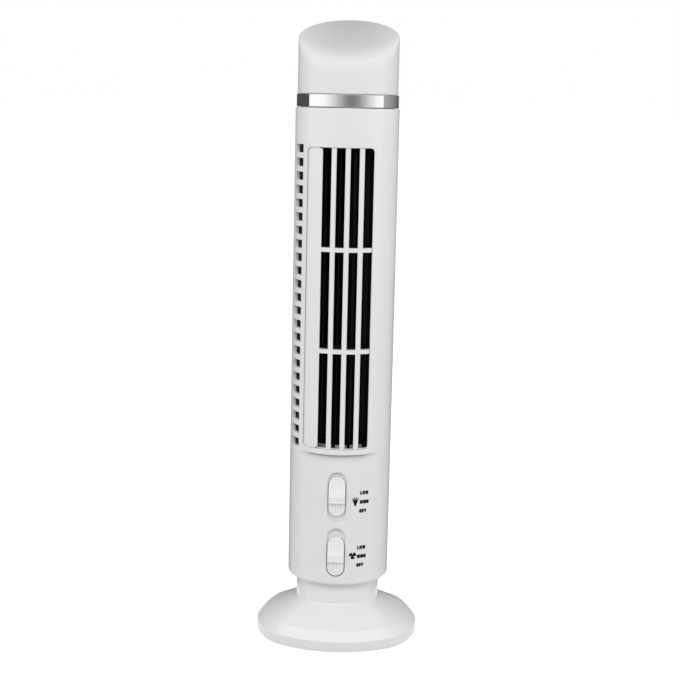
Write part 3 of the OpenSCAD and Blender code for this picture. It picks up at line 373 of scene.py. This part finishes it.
# one material for each finish in the record; colours are linear, distances in metres
dustColour = (0.62, 0.60, 0.56, 1.0)
finishes = {
    "body_plastic": dict(
        colour=(0.86, 0.86, 0.86), shade=(0.84, 0.84, 0.84), rough=(0.17, 0.25), fineness=2600, drift=24,
        depth=0.35, bump=0.00002, rub=0.25, rubColour=(0.92, 0.92, 0.92), dust=0.015,
        # painted shade (crease settings and their colour): darker beside corners, much darker in closed-in
        # recesses
        paintedCreaseShade=(0.006, 0.07, 0.85), paintedShadeColour=(0.1, 0.1, 0.1), specular=0.25,
    ),
    "inner_plastic": dict(
        colour=(0.78, 0.78, 0.77), shade=(0.72, 0.72, 0.71), rough=(0.38, 0.5), fineness=1800, drift=40,
        depth=0.6, bump=0.00004, rub=0.2, rubColour=(0.86, 0.86, 0.85), dust=0.05,
        # painted shade (crease settings and their colour): darker beside corners, nearly black in closed-in
        # recesses
        paintedCreaseShade=(0.006, 0.1, 0.9), paintedShadeColour=(0.02, 0.02, 0.02), specular=0.2,
    ),
    "black_plastic": dict(
        colour=(0.006, 0.006, 0.007), shade=(0.011, 0.011, 0.012), rough=(0.35, 0.5), fineness=2200,
        drift=60, depth=0.6, bump=0.00003, rub=0.12, rubColour=(0.05, 0.05, 0.05), dust=0.02,
        specular=0.15,
    ),
    "knob_plastic": dict(
        colour=(0.95, 0.95, 0.95), shade=(0.93, 0.93, 0.93), rough=(0.14, 0.22), fineness=3000, drift=120,
        depth=0.3, bump=0.00001, rub=0.3, rubColour=(0.95, 0.95, 0.95), dust=0.01,
        # painted shade (crease settings and their colour): slightly darker beside corners and in recesses
        paintedCreaseShade=(0.001, 0.04, 0.4), paintedShadeColour=(0.2, 0.2, 0.2), specular=0.35,
    ),
    "rubber": dict(
        colour=(0.10, 0.10, 0.10), shade=(0.14, 0.14, 0.14), rough=(0.7, 0.9), fineness=1500, drift=200,
        depth=1.0, bump=0.00006, rub=0.5, rubColour=(0.25, 0.25, 0.24), dust=0.15,
    ),
    "magnet": dict(
        colour=(0.09, 0.09, 0.10), shade=(0.14, 0.14, 0.15), rough=(0.5, 0.7), fineness=2500, drift=300,
        depth=1.0, bump=0.00004, rub=0.4, rubColour=(0.25, 0.25, 0.26), dust=0.05,
    ),
    "resistor": dict(
        colour=(0.70, 0.58, 0.38), shade=(0.62, 0.50, 0.32), rough=(0.3, 0.45), fineness=3000, drift=500,
        depth=0.5, bump=0.00002, rub=0.3, rubColour=(0.8, 0.7, 0.5), dust=0.05,
    ),
    "lead_red": dict(
        colour=(0.55, 0.03, 0.03), shade=(0.42, 0.02, 0.02), rough=(0.35, 0.5), fineness=2500, drift=150,
        depth=0.5, bump=0.00002, rub=0.2, rubColour=(0.7, 0.2, 0.2), dust=0.08,
    ),
    "white_board": dict(
        colour=(0.85, 0.85, 0.83), shade=(0.80, 0.80, 0.78), rough=(0.3, 0.4), fineness=2500, drift=90,
        depth=0.5, bump=0.00002, rub=0.3, rubColour=(0.7, 0.65, 0.5), dust=0.04,
    ),
    "led": dict(
        colour=(0.92, 0.88, 0.62), shade=(0.95, 0.80, 0.35), rough=(0.1, 0.2), fineness=2000, drift=400,
        depth=0.3, bump=0.00001, rub=0.1, rubColour=(1.0, 0.98, 0.9), dust=0.0,
    ),
    "trim_chrome": dict(
        colour=(0.66, 0.66, 0.67), shade=(0.63, 0.63, 0.64), rough=(0.05, 0.09), metallic=1.0,
        lines=(5000, 30), bump=0.000002, rub=0.3, rubColour=(0.75, 0.75, 0.76), dust=0.02,
    ),
    "steel": dict(
        colour=(0.55, 0.55, 0.56), shade=(0.46, 0.46, 0.48), rough=(0.25, 0.42), metallic=1.0,
        lines=(6000, 200), bump=0.00001, rub=0.5, rubColour=(0.7, 0.7, 0.71), dust=0.05,
    ),
    "lamp_cover": dict(
        colour=(0.835, 0.835, 0.835), shade=(0.82, 0.82, 0.82), rough=(0.2, 0.28), fineness=2600, drift=30,
        # the crease settings at the end of the next line and the colour below them: painted shade beside
        # corners and in recesses
        depth=0.3, bump=0.00002, rub=0.2, rubColour=(0.9, 0.9, 0.9), dust=0.0, paintedCreaseShade=(0.002, 0.1, 0.3),
        paintedShadeColour=(0.3, 0.3, 0.3), specular=0.15,
        # painted shade on the sloping roof: darker towards 0.5 at its top middle, weaker at the sides and
        # at its low front
        facet=dict(way=(0.0, -0.345, 0.939), start=0.6, full=1.0, colour=(0.5, 0.5, 0.505),
                   side=0.32, low=0.5, lowRise=0.4),
    ),
    "ink": dict(
        colour=(0.003, 0.003, 0.003), shade=(0.006, 0.006, 0.006), rough=(0.3, 0.5), fineness=4000,
        drift=400, depth=0.5, bump=0.000005, rub=0.05, rubColour=(0.03, 0.03, 0.03), dust=0.0,
        specular=0.05,
    ),
    "board": dict(
        colour=(0.02, 0.16, 0.06), shade=(0.03, 0.21, 0.08), rough=(0.3, 0.42), fineness=2200, drift=600,
        depth=0.5, bump=0.00002, rub=0.5, rubColour=(0.45, 0.40, 0.22), dust=0.05,
    ),
    "copper": dict(
        colour=(0.72, 0.30, 0.15), shade=(0.58, 0.22, 0.10), rough=(0.2, 0.35), metallic=1.0,
        lines=(9000, 500), bump=0.00002, rub=0.4, rubColour=(0.9, 0.5, 0.3), dust=0.03,
    ),
    "iron": dict(
        colour=(0.10, 0.10, 0.105), shade=(0.16, 0.155, 0.15), rough=(0.55, 0.8), metallic=1.0,
        fineness=900, drift=120, depth=1.0, bump=0.0001, rub=0.6, rubColour=(0.4, 0.4, 0.4), dust=0.1,
    ),
    "brass": dict(
        colour=(0.72, 0.54, 0.24), shade=(0.62, 0.44, 0.19), rough=(0.22, 0.4), metallic=1.0,
        lines=(7000, 300), bump=0.00001, rub=0.4, rubColour=(0.85, 0.68, 0.36), dust=0.04,
    ),
}
# the front also gets a painted shadow under its lower ledge, and the base's bright band a painted highlight
finishes["front_shell"] = dict(
    finishes["body_plastic"],
    ledge=dict(depth=0.0055, falloff=3.0, inner=0.013, outer=0.021, amount=0.68, front=-0.01),
)
finishes["base_plastic"] = dict(
    finishes["body_plastic"], colour=(0.84, 0.84, 0.84), shade=(0.82, 0.82, 0.82),
    # painted shade (crease settings): a light darkening beside corners
    paintedCreaseShade=(0.003, 0.02, 0.0), specular=0.4,
    # painted highlight: the band facing up and forwards lightened towards 0.885
    facet=dict(way=(0.0, -0.835, 0.55), start=0.86, full=0.97, colour=(0.885, 0.885, 0.885)),
)
screenCloth = dict(pitch=0.0009, radius=0.025, hollow=(0.003, 0.003, 0.003, 1.0),
                   wire=(0.025, 0.025, 0.027, 1.0), rough=0.7, specular=0.06, bump=0.0002, dust=0.02)


def startMaterial(name):
    material = bpy.data.materials.new(name)
    material.use_nodes = True
    return material, material.node_tree, material.node_tree.nodes["Principled BSDF"]


def wearDustAndPaintedShade(tree, colour, look):
    rub = useEffect(tree, "rub")["Mask"]
    worn = blendColour(tree, sums(tree, "MULTIPLY", rub, look["rub"]), colour, (*look["rubColour"], 1.0))
    dust = useEffect(tree, "dust", amount=look["dust"])["Mask"]
    dusty = blendColour(tree, dust, worn, dustColour)
    if "paintedCreaseShade" not in look:
        return dusty, dust
    # painted shade: darker beside corners and in closed-in recesses
    reach, film, deep = look["paintedCreaseShade"]
    corner = useEffect(tree, "paintedCreaseShade", reach=reach, film=film, deep=deep)["Mask"]
    return blendColour(tree, corner, dusty, (*look["paintedShadeColour"], 1.0)), dust


def paintedFacetLight(tree, facet):
    # painted light on one facet: a painted highlight on the base's band, a painted shade on the lamp cap's
    # roof, which there fades to both sides and towards the front
    share = useEffect(tree, "facing", way=facet["way"], start=facet["start"], full=facet["full"])["Mask"]
    if "side" not in facet:
        return share
    axes = addNode(tree, "ShaderNodeSeparateXYZ", {0: objectPlace(tree)})
    low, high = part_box("lamp_diffuser")
    across = sums(tree, "POWER", sums(tree, "ABSOLUTE", axes.outputs[0]), 2.0)
    fade = spread(tree, across, 0.0, high.x ** 2, 1.0, facet["side"])
    riseFrom = low.z + facet["lowRise"] * (high.z - low.z)
    rise = spread(tree, axes.outputs[2], riseFrom, high.z, facet["low"], 1.0)
    return sums(tree, "MULTIPLY", share, sums(tree, "MULTIPLY", fade, rise))


def paintedLedgeShadow(tree, ledge):
    # a painted shadow under the lower ledge of the front, fading downwards and to both sides
    axes = addNode(tree, "ShaderNodeSeparateXYZ", {0: objectPlace(tree)}).outputs
    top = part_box("intake_screen")[0].z
    near = sums(tree, "POWER", spread(tree, axes[2], top - ledge["depth"], top), ledge["falloff"])
    aside = sums(tree, "ABSOLUTE", axes[0])
    across = spread(tree, aside, ledge["inner"], ledge["outer"], ledge["amount"], 0.0)
    below = sums(tree, "LESS_THAN", axes[2], top)
    front = sums(tree, "LESS_THAN", axes[1], ledge["front"])
    shade = sums(tree, "MULTIPLY", near, across)
    return sums(tree, "MULTIPLY", shade, sums(tree, "MULTIPLY", below, front))


def makeFinish(name, look):
    material, tree, shader = startMaterial(name)
    if "lines" in look:
        skin = useEffect(tree, "lines", across=look["lines"][0], along=look["lines"][1])
        tone = gloss = skin["Streak"]
    else:
        skin = useEffect(tree, "skin", fineness=look["fineness"], drift=look["drift"], depth=look["depth"])
        tone, gloss = skin["Tone"], skin["Gloss"]
    base = blendColour(tree, tone, (*look["colour"], 1.0), (*look["shade"], 1.0))
    # painted light on a facet: the lamp cap roof's painted shade, the base band's painted highlight
    if "facet" in look:
        base = blendColour(tree, paintedFacetLight(tree, look["facet"]), base, (*look["facet"]["colour"], 1.0))
    # painted shadow under the front's lower ledge
    if "ledge" in look:
        base = blendColour(tree, paintedLedgeShadow(tree, look["ledge"]), base, (*look["paintedShadeColour"], 1.0))
    colour, dust = wearDustAndPaintedShade(tree, base, look)
    tree.links.new(colour, shader.inputs["Base Color"])
    rough = spread(tree, gloss, 0.0, 1.0, *look["rough"])
    tree.links.new(sums(tree, "ADD", rough, dust), shader.inputs["Roughness"])
    bump = addNode(tree, "ShaderNodeBump", {"Height": skin["Height"], "Distance": look["bump"]})
    tree.links.new(bump.outputs[0], shader.inputs["Normal"])
    shader.inputs["Metallic"].default_value = look.get("metallic", 0.0)
    shader.inputs["Specular IOR Level"].default_value = look.get("specular", 0.5)
    return material


def makeScreenCloth(look):
    material, tree, shader = startMaterial("screenCloth")
    weave = useEffect(tree, "weave", pitch=look["pitch"], radius=look["radius"])
    dust = useEffect(tree, "dust", amount=look["dust"])["Mask"]
    threads = blendColour(tree, weave["Wire"], look["hollow"], look["wire"])
    tree.links.new(blendColour(tree, dust, threads, dustColour), shader.inputs["Base Color"])
    shader.inputs["Roughness"].default_value = look["rough"]
    shader.inputs["Specular IOR Level"].default_value = look["specular"]
    bump = addNode(tree, "ShaderNodeBump", {"Height": weave["Height"], "Distance": look["bump"]})
    tree.links.new(bump.outputs[0], shader.inputs["Normal"])
    return material


materials = {name: makeFinish(name, look) for name, look in finishes.items()}
materials["intake_screen"] = makeScreenCloth(screenCloth)


def paintNodes(subparts):
    # a node takes the material of its own name, or else the one its slot names
    for entry in subparts:
        name = entry["node"] if entry["node"] in materials else entry["material_slot"]
        mesh = cad[entry["node"]].data
        mesh.materials.clear()
        mesh.materials.append(materials[name])


paintNodes(frame["record"]["subparts"])
print("materials made")

# the body's outline: a circle with a flattened front; lengths from here on are in mm
body = dict(radius=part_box("front_shell")[1].x / mm, facetHalf=44.9, facetDepth=1.2)


def flattening(radius, half, depth):
    # the second circle that flattens the front: how much larger it is, and how far it is set back
    w = radius * math.sin(math.radians(half))
    sag = radius - depth - radius * math.cos(math.radians(half))
    grow = (w * w + sag * sag) / (2 * sag) - radius
    return grow, grow + depth


bodyGrow, bodyShift = flattening(body["radius"], body["facetHalf"], body["facetDepth"])


def flatReach(radius, turn, grow, shift):
    # distance from the axis to the outline, at a turn from the front
    k = -shift * math.cos(turn)
    return min(radius, k + math.sqrt(k * k + (radius + grow) ** 2 - shift * shift))


def softReach(radius, turn, grow, shift, softness):
    # the same with the crease eased over a few degrees
    turns = [turn + math.radians(softness) * i / 4 for i in range(-4, 5)]
    return sum(flatReach(radius, t, grow, shift) for t in turns) / len(turns)


def ease(low, high, value):
    t = min(1.0, max(0.0, (value - low) / (high - low)))
    return t * t * (3 - 2 * t)


def roundedPath(points, radii, steps=6):
    # a line through the points with each inner corner rounded
    path = [points[0]]
    for before, corner, after, radius in zip(points, points[1:], points[2:], radii):
        c, a, b = Vector(corner), Vector(before), Vector(after)
        toA, toB = (a - c).normalized(), (b - c).normalized()
        angle = toA.angle(toB)
        cut = radius / math.tan(angle / 2)
        centre = c + (toA + toB).normalized() * (radius / math.sin(angle / 2))
        start, end = c + toA * cut, c + toB * cut
        sweep = (start - centre).angle_signed(end - centre)
        for i in range(steps + 1):
            arm = (start - centre).copy()
            arm.rotate(Matrix.Rotation(-sweep * i / steps, 2))
            path.append(tuple(centre + arm))
    path.append(points[-1])
    return path


def turnProfile(name, profile, steps, material, rideOn, sharp=35):
    # a closed outline [radius, height] in mm, turned once round the axis; it may change with the turn
    mesh = bmesh.new()
    rings = []
    for j in range(steps):
        turn = 2 * math.pi * j / steps
        rings.append([mesh.verts.new((r * math.sin(turn) * mm, -r * math.cos(turn) * mm, z * mm))
                      for r, z in profile(turn)])
    for j in range(steps):
        here, there = rings[j], rings[(j + 1) % steps]
        for i in range(len(here)):
            k = (i + 1) % len(here)
            mesh.faces.new((here[i], there[i], there[k], here[k]))
    bmesh.ops.remove_doubles(mesh, verts=mesh.verts, dist=1e-7)
    bmesh.ops.delete(mesh, geom=[edge for edge in mesh.edges if not edge.link_faces], context="EDGES")
    bmesh.ops.recalc_face_normals(mesh, faces=mesh.faces)
    return finishMesh(name, mesh, material, rideOn, sharp)


def finishMesh(name, mesh, material, rideOn, sharp=35):
    for face in mesh.faces:
        face.smooth = True
    for edge in mesh.edges:
        if len(edge.link_faces) == 2 and edge.calc_face_angle(0) > math.radians(sharp):
            edge.smooth = False
    data = bpy.data.meshes.new(name)
    mesh.to_mesh(data)
    mesh.free()
    data.materials.append(material)
    return linkPiece(name, data, rideOn)


# lamp cap: a thin shell with a slanted top, broadly rounded in front and crisper at the sides and the back
lampCap = dict(inset=1.0, wall=1.8, slope=20.2, topGap=0.35, backRound=1.5, sideRound=1.7, frontRound=15.0,
               leastRound=0.6, rimChamfer=0.25, softness=5.0, cornerSteps=12, turns=240,
               roofSteps=(0.88, 0.75, 0.6, 0.45, 0.3, 0.15, 0.02, 0.0))


def capOutline(turn, radius, mid, less, look):
    # outer line from the rim up to the middle of the top
    reach = softReach(radius, turn, bodyGrow, bodyShift, look["softness"])
    toFront = math.cos(turn)
    corner = look["sideRound"] + (look["frontRound"] - look["sideRound"]) * ease(0.0, 1.0, toFront)
    corner += (look["backRound"] - look["sideRound"]) * ease(0.0, 1.0, -toFront)
    corner = max(look["leastRound"], corner - less)
    m = toFront * math.tan(math.radians(look["slope"]))
    last = math.atan2(1, m)
    c = reach - corner
    z = mid - c * m - corner * math.hypot(1, m)
    path = []
    for i in range(look["cornerSteps"] + 1):
        a = last * i / look["cornerSteps"]
        path.append((c + corner * math.cos(a), z + corner * math.sin(a)))
    edge = path[-1][0]
    return path + [(edge * share, mid - edge * share * m) for share in look["roofSteps"]]


def buildLampCap(look):
    low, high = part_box("lamp_diffuser")
    radius, wall = body["radius"] - look["inset"], look["wall"]
    z0, chamfer = low.z / mm, look["rimChamfer"]
    top = max(point[1] for degrees in range(0, 360, 6)
              for point in capOutline(math.radians(degrees), radius, 0.0, 0.0, look))
    mid = high.z / mm - look["topGap"] - top
    midInside = mid - wall / math.cos(math.radians(look["slope"]))

    def profile(turn):
        outer = capOutline(turn, radius, mid, 0.0, look)
        inner = capOutline(turn, radius - wall, midInside, wall, look)
        rim, start = outer[0][0], z0 + chamfer
        foot = [(rim - chamfer, z0), (rim, start)]
        rise = [(rim, start + (outer[0][1] - start) * i / 5) for i in range(1, 5)]
        return foot + rise + outer + inner[::-1] + [(inner[0][0], z0)]

    piece = turnProfile("lampCap", profile, look["turns"], materials["lamp_cover"], "tower")
    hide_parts("lamp_diffuser")


buildLampCap(lampCap)

# bright trim ring between the body and the cap
trimRing = dict(inset=0.55, gapBelow=0.25, gapAbove=0.12, edge=0.45, backEdge=0.1, wall=1.5, turns=288,
                sharp=60)


def buildTrimRing(look):
    low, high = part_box("chrome_ring")
    z0, z1 = low.z / mm + look["gapBelow"], high.z / mm - look["gapAbove"]
    middle, backEdge = (z0 + z1) / 2, look["backEdge"]

    def profile(turn):
        reach = flatReach(body["radius"] - look["inset"], turn, bodyGrow, bodyShift)
        back = reach - look["wall"]
        return roundedPath([(back, middle), (back, z0), (reach, z0), (reach, z1), (back, z1),
                            (back, middle + backEdge)], [backEdge, look["edge"], look["edge"], backEdge])

    piece = turnProfile("trimRing", profile, look["turns"], materials["trim_chrome"], "tower",
                        look["sharp"])
    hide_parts("chrome_ring")


buildTrimRing(trimRing)
print("cap and ring built")

# flared base: four softly flattened sides, a crisp band in front, rounder at the sides and the back
flaredBase = dict(
    corner=45.4, frontReach=42.4, frontHalf=43.0, backReach=41.8, backHalf=50.0, sideInset=0.01,
    sideHalf=35.5, softness=1.2, foot=0.4, footWidth=3.0, neckInset=4.85, bottomEdge=0.4, neckEdge=0.2,
    turns=320,
    wall=1.8, deck=2.0, underNeck=1.2, underBand=(1.2, 1.9), underRim=1.6, underEdges=(0.5, 2.0, 0.5, 0.5),
    # the two kinds of rim, and the turns from the front between which one becomes the other
    turnFrom=36.0, turnTo=105.0,
    front=dict(rimTop=5.85, bandIn=3.1, bandUp=4.7, slope=24.0, rimEdge=0.6, bandEdge=0.6, hollow=1.0),
    side=dict(rimTop=4.45, bandIn=4.33, bandUp=3.9, slope=26.0, rimEdge=3.2, bandEdge=3.2, hollow=2.6),
)


def buildBase(look):
    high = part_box("base_cover")[1]
    radius, neck = high.x / mm, body["radius"] - look["neckInset"]
    z0, z1, footIn = look["foot"], high.z / mm, radius - look["footWidth"]
    wall, under = look["wall"], z1 - look["deck"]
    sides = [(0.0, look["frontHalf"], look["frontReach"]), (math.pi, look["backHalf"], look["backReach"]),
             (math.pi / 2, look["sideHalf"], radius - look["sideInset"]),
             (-math.pi / 2, look["sideHalf"], radius - look["sideInset"])]
    flats = [(at, *flattening(look["corner"], half, look["corner"] - reach)) for at, half, reach in sides]

    def profile(turn):
        fromFront = math.degrees(math.acos(math.cos(turn)))
        w = ease(look["turnFrom"], look["turnTo"], fromFront)
        q = {key: value + (look["side"][key] - value) * w for key, value in look["front"].items()}
        bandR, bandZ = radius - q["bandIn"], q["rimTop"] + q["bandUp"]
        neckZ = bandZ + (bandR - neck) * math.tan(math.radians(q["slope"]))
        edges = [look["bottomEdge"], q["rimEdge"], q["bandEdge"], q["hollow"], look["neckEdge"]]
        outer = roundedPath([(footIn, z0), (radius, z0), (radius, q["rimTop"]), (bandR, bandZ),
                             (neck, neckZ), (neck, z1), (0, z1)], edges, 8)
        inward, down = look["underBand"]
        inner = roundedPath([(0, under), (neck - wall, under), (neck - wall, neckZ - look["underNeck"]),
                             (bandR - inward, bandZ - down),
                             (radius - wall, q["rimTop"] - look["underRim"]), (radius - wall, z0)],
                            look["underEdges"], 3)
        share = min(softReach(look["corner"], turn - at, grow, shift, look["softness"])
                    for at, grow, shift in flats) / radius
        return [(r * share, z) for r, z in outer + inner]

    piece = turnProfile("baseCover", profile, look["turns"], materials["base_plastic"], "tower")
    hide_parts("base_cover")


buildBase(flaredBase)
print("base built")

# switch knobs: low and ribbed below a step, lined above it, then sloping back to a ribbed top
knobShape = dict(
    low=1.8, lip=3.45, crown=0.25, slim=0.3, edge=0.6, floorGap=0.3, endTrim=0.03,
    stepWidth=0.22, slopeFrom=-1.0, slopePast=0.8,
    lines=(0.95, 1.7, 2.45), lineDepth=0.45, lineWidth=0.17,
    ribPitch=1.5, ribDepth=0.52, lowRibs=(0.6, 0.3), topRibs=(1.6, 4.6), ribMargin=(0.15, 0.9),
    across=72, along=150, sharp=50,
)
knobs = [("lampKnob", "lamp_knob", -3.1), ("fanKnob", "fan_knob", -2.5)]  # name, node, place of the step


def knobHeight(u, v, half, width, look):
    # height above the pocket's floor, u across and v along, in mm
    radius = width / 2
    edgeGap = radius - math.hypot(u, max(abs(v) - (half - radius), 0.0))
    low, lip, step = look["low"], look["lip"], look["step"]
    if v < step:
        h = low + (lip - low) * ease(step - look["stepWidth"], step, v)
        ribs = 1.0 - ease(step - look["lowRibs"][0], step - look["lowRibs"][1], v)
    else:
        h = lip - (lip - low) * ease(look["slopeFrom"], half + look["slopePast"], v)
        ribs = ease(*look["topRibs"], v)
    dips = [math.exp(-((v - step - line) / look["lineWidth"]) ** 2) for line in look["lines"]]
    h -= look["lineDepth"] * sum(dips)
    ribs *= ease(*look["ribMargin"], edgeGap)
    h -= look["ribDepth"] * ribs * (0.5 - 0.5 * math.cos(2 * math.pi * u / look["ribPitch"])) ** 2
    h -= look["crown"] * (u / radius) ** 2
    r = look["edge"]
    if edgeGap < r:
        h -= r - math.sqrt(max(0.0, r * r - (r - max(edgeGap, 0.0)) ** 2))
    return h


def bunch(t, amount):
    # moves steps between -1 and 1 closer together towards both ends
    return (1 - amount) * t + amount * math.sin(math.pi / 2 * t)


def buildKnob(name, node, look):
    low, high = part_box(node)
    middle = (low + high) / 2
    width, half = (high.x - low.x) / mm - 2 * look["slim"], (high.z - low.z) / 2 / mm - look["slim"]
    radius = width / 2
    back = high.y
    floorY = back + look["floorGap"] * mm
    mesh = bmesh.new()
    rows = []
    for j in range(look["along"] + 1):
        v = (half - look["endTrim"]) * bunch(-1 + 2 * j / look["along"], 0.25)
        over = max(abs(v) - (half - radius), 0.0)
        w = math.sqrt(radius * radius - over * over)
        row = []
        for i in range(look["across"] + 1):
            u = w * bunch(-1 + 2 * i / look["across"], 0.3)
            h = knobHeight(u, v, half, width, look)
            row.append(mesh.verts.new((middle.x + u * mm, floorY - h * mm, middle.z + v * mm)))
        rows.append(row)
    for lower, upper in zip(rows, rows[1:]):
        for i in range(look["across"]):
            mesh.faces.new((lower[i], lower[i + 1], upper[i + 1], upper[i]))
    rim = rows[0] + [row[-1] for row in rows[1:]] + rows[-1][-2::-1] + [row[0] for row in rows[-2:0:-1]]
    foot = [mesh.verts.new((v.co.x, back, v.co.z)) for v in rim]
    for i in range(len(rim)):
        k = (i + 1) % len(rim)
        mesh.faces.new((rim[i], foot[i], foot[k], rim[k]))
    mesh.faces.new(foot)
    bmesh.ops.recalc_face_normals(mesh, faces=mesh.faces)
    piece = finishMesh(name, mesh, materials["knob_plastic"], node.replace("knob", "slider"),
                       look["sharp"])
    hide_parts(node)


for name, node, step in knobs:
    buildKnob(name, node, dict(knobShape, step=step))
print("knobs built")

# printed marks beside the switches: plain words, a lamp and a fan
marks = dict(
    height=1.95, stroke=0.6, gap=0.1, lift=0.03, sink=0.05,
    words=[("LOW", 14.35, 82.2), ("HIGH", 14.45, 77.2), ("OFF", 13.8, 72.3),
           ("LOW", 13.5, 52.1), ("HIGH", 13.6, 47.2), ("OFF", 12.95, 42.4)],
    lampIcon=(9.8, 77.45), rays=(-44, -15, 15, 44), ray=(1.3, 2.5, 0.25),
    lampSide=[(0.45, -2.3), (0.55, -1.3), (1.15, 0.05), (1.4, 0.6), (0.7, 0.9)], lampTop=1.0,
    fanIcon=(9.0, 47.8), bladeTurns=(75, 195, 315), bladeScale=2.0 / 1.1, hub=0.6, hubSides=12,
    blade=[(0.2, 0.1), (-0.2, 0.35), (-0.42, 0.7), (-0.38, 0.98), (0.0, 1.1), (0.4, 1.02), (0.7, 0.78),
           (0.72, 0.45), (0.5, 0.18)],
    letters={  # width, then lines in a unit box
        "L": (0.5, [[(0, 1), (0, 0), (1, 0)]]),
        "O": (0.7, [[(0, 0.2), (0, 0.8), (0.3, 1), (0.7, 1), (1, 0.8), (1, 0.2), (0.7, 0), (0.3, 0),
                     (0, 0.2)]]),
        "W": (1.15, [[(0, 1), (0.25, 0), (0.5, 0.85), (0.75, 0), (1, 1)]]),
        "H": (0.62, [[(0, 0), (0, 1)], [(0, 0.5), (1, 0.5)], [(1, 0), (1, 1)]]),
        "I": (0.0, [[(0, 0), (0, 1)]]),
        "G": (0.62, [[(1, 0.85), (0.7, 1), (0.3, 1), (0, 0.8), (0, 0.2), (0.3, 0), (0.7, 0), (1, 0.15),
                      (1, 0.5), (0.6, 0.5)]]),
        "F": (0.5, [[(0, 0), (0, 1), (1, 1)], [(0, 0.5), (0.8, 0.5)]]),
    },
)


def onFront(x, z, out):
    # a point on the flattened front of the body, in metres
    radius = body["radius"] + bodyGrow + out
    return Vector((x, bodyShift - math.sqrt(radius * radius - x * x), z)) * mm


def addOutline(mesh, points, look):
    # a flat printed shape from its corners, wrapped on the front
    top = [mesh.verts.new(onFront(x, z, look["lift"])) for x, z in points]
    bottom = [mesh.verts.new(onFront(x, z, -look["sink"])) for x, z in points]
    mesh.faces.new(top)
    mesh.faces.new(bottom[::-1])
    for i in range(len(points)):
        k = (i + 1) % len(points)
        mesh.faces.new((top[i], bottom[i], bottom[k], top[k]))


def addStroke(mesh, start, end, half, look):
    ax, az = start
    bx, bz = end
    run = math.hypot(bx - ax, bz - az)
    ux, uz = (bx - ax) / run * half, (bz - az) / run * half
    addOutline(mesh, [(ax - ux - uz, az - uz + ux), (ax - ux + uz, az - uz - ux),
                      (bx + ux + uz, bz + uz - ux), (bx + ux - uz, bz + uz + ux)], look)


def addWord(mesh, word, x, z, look):
    thick = look["stroke"]
    tall = look["height"] - thick
    widths = [look["letters"][letter][0] + thick for letter in word]
    left = x - (sum(widths) + look["gap"] * (len(word) - 1)) / 2 + thick / 2
    for letter, width in zip(word, widths):
        for line in look["letters"][letter][1]:
            points = [(left + px * (width - thick), z + (pz - 0.5) * tall) for px, pz in line]
            for start, end in zip(points, points[1:]):
                addStroke(mesh, start, end, thick / 2, look)
        left += width + look["gap"]


def turnedShape(shape, x, z, turn, scale):
    c, s = math.cos(math.radians(turn)), math.sin(math.radians(turn))
    return [(x + (a * c - b * s) * scale, z + (a * s + b * c) * scale) for a, b in shape]


def buildMarks(look):
    mesh = bmesh.new()
    for word, x, z in look["words"]:
        addWord(mesh, word, x, z, look)
    x, z = look["lampIcon"]
    right = [(x + a, z + b) for a, b in look["lampSide"]]
    left = [(x - a, z + b) for a, b in look["lampSide"]]
    addOutline(mesh, right + [(x, z + look["lampTop"])] + left[::-1], look)
    near, far, half = look["ray"]
    for turn in look["rays"]:
        s, c = math.sin(math.radians(turn)), math.cos(math.radians(turn))
        start, end = near, far - half
        addStroke(mesh, (x + s * start, z + c * start), (x + s * end, z + c * end), half, look)
    x, z = look["fanIcon"]
    for turn in look["bladeTurns"]:
        addOutline(mesh, turnedShape(look["blade"], x, z, turn, look["bladeScale"]), look)
    around = [2 * math.pi * i / look["hubSides"] for i in range(look["hubSides"])]
    addOutline(mesh, [(x + look["hub"] * math.cos(a), z + look["hub"] * math.sin(a)) for a in around], look)
    bmesh.ops.recalc_face_normals(mesh, faces=mesh.faces)
    finishMesh("switchMarks", mesh, materials["ink"], "tower", 30)


buildMarks(marks)
print("marks printed")
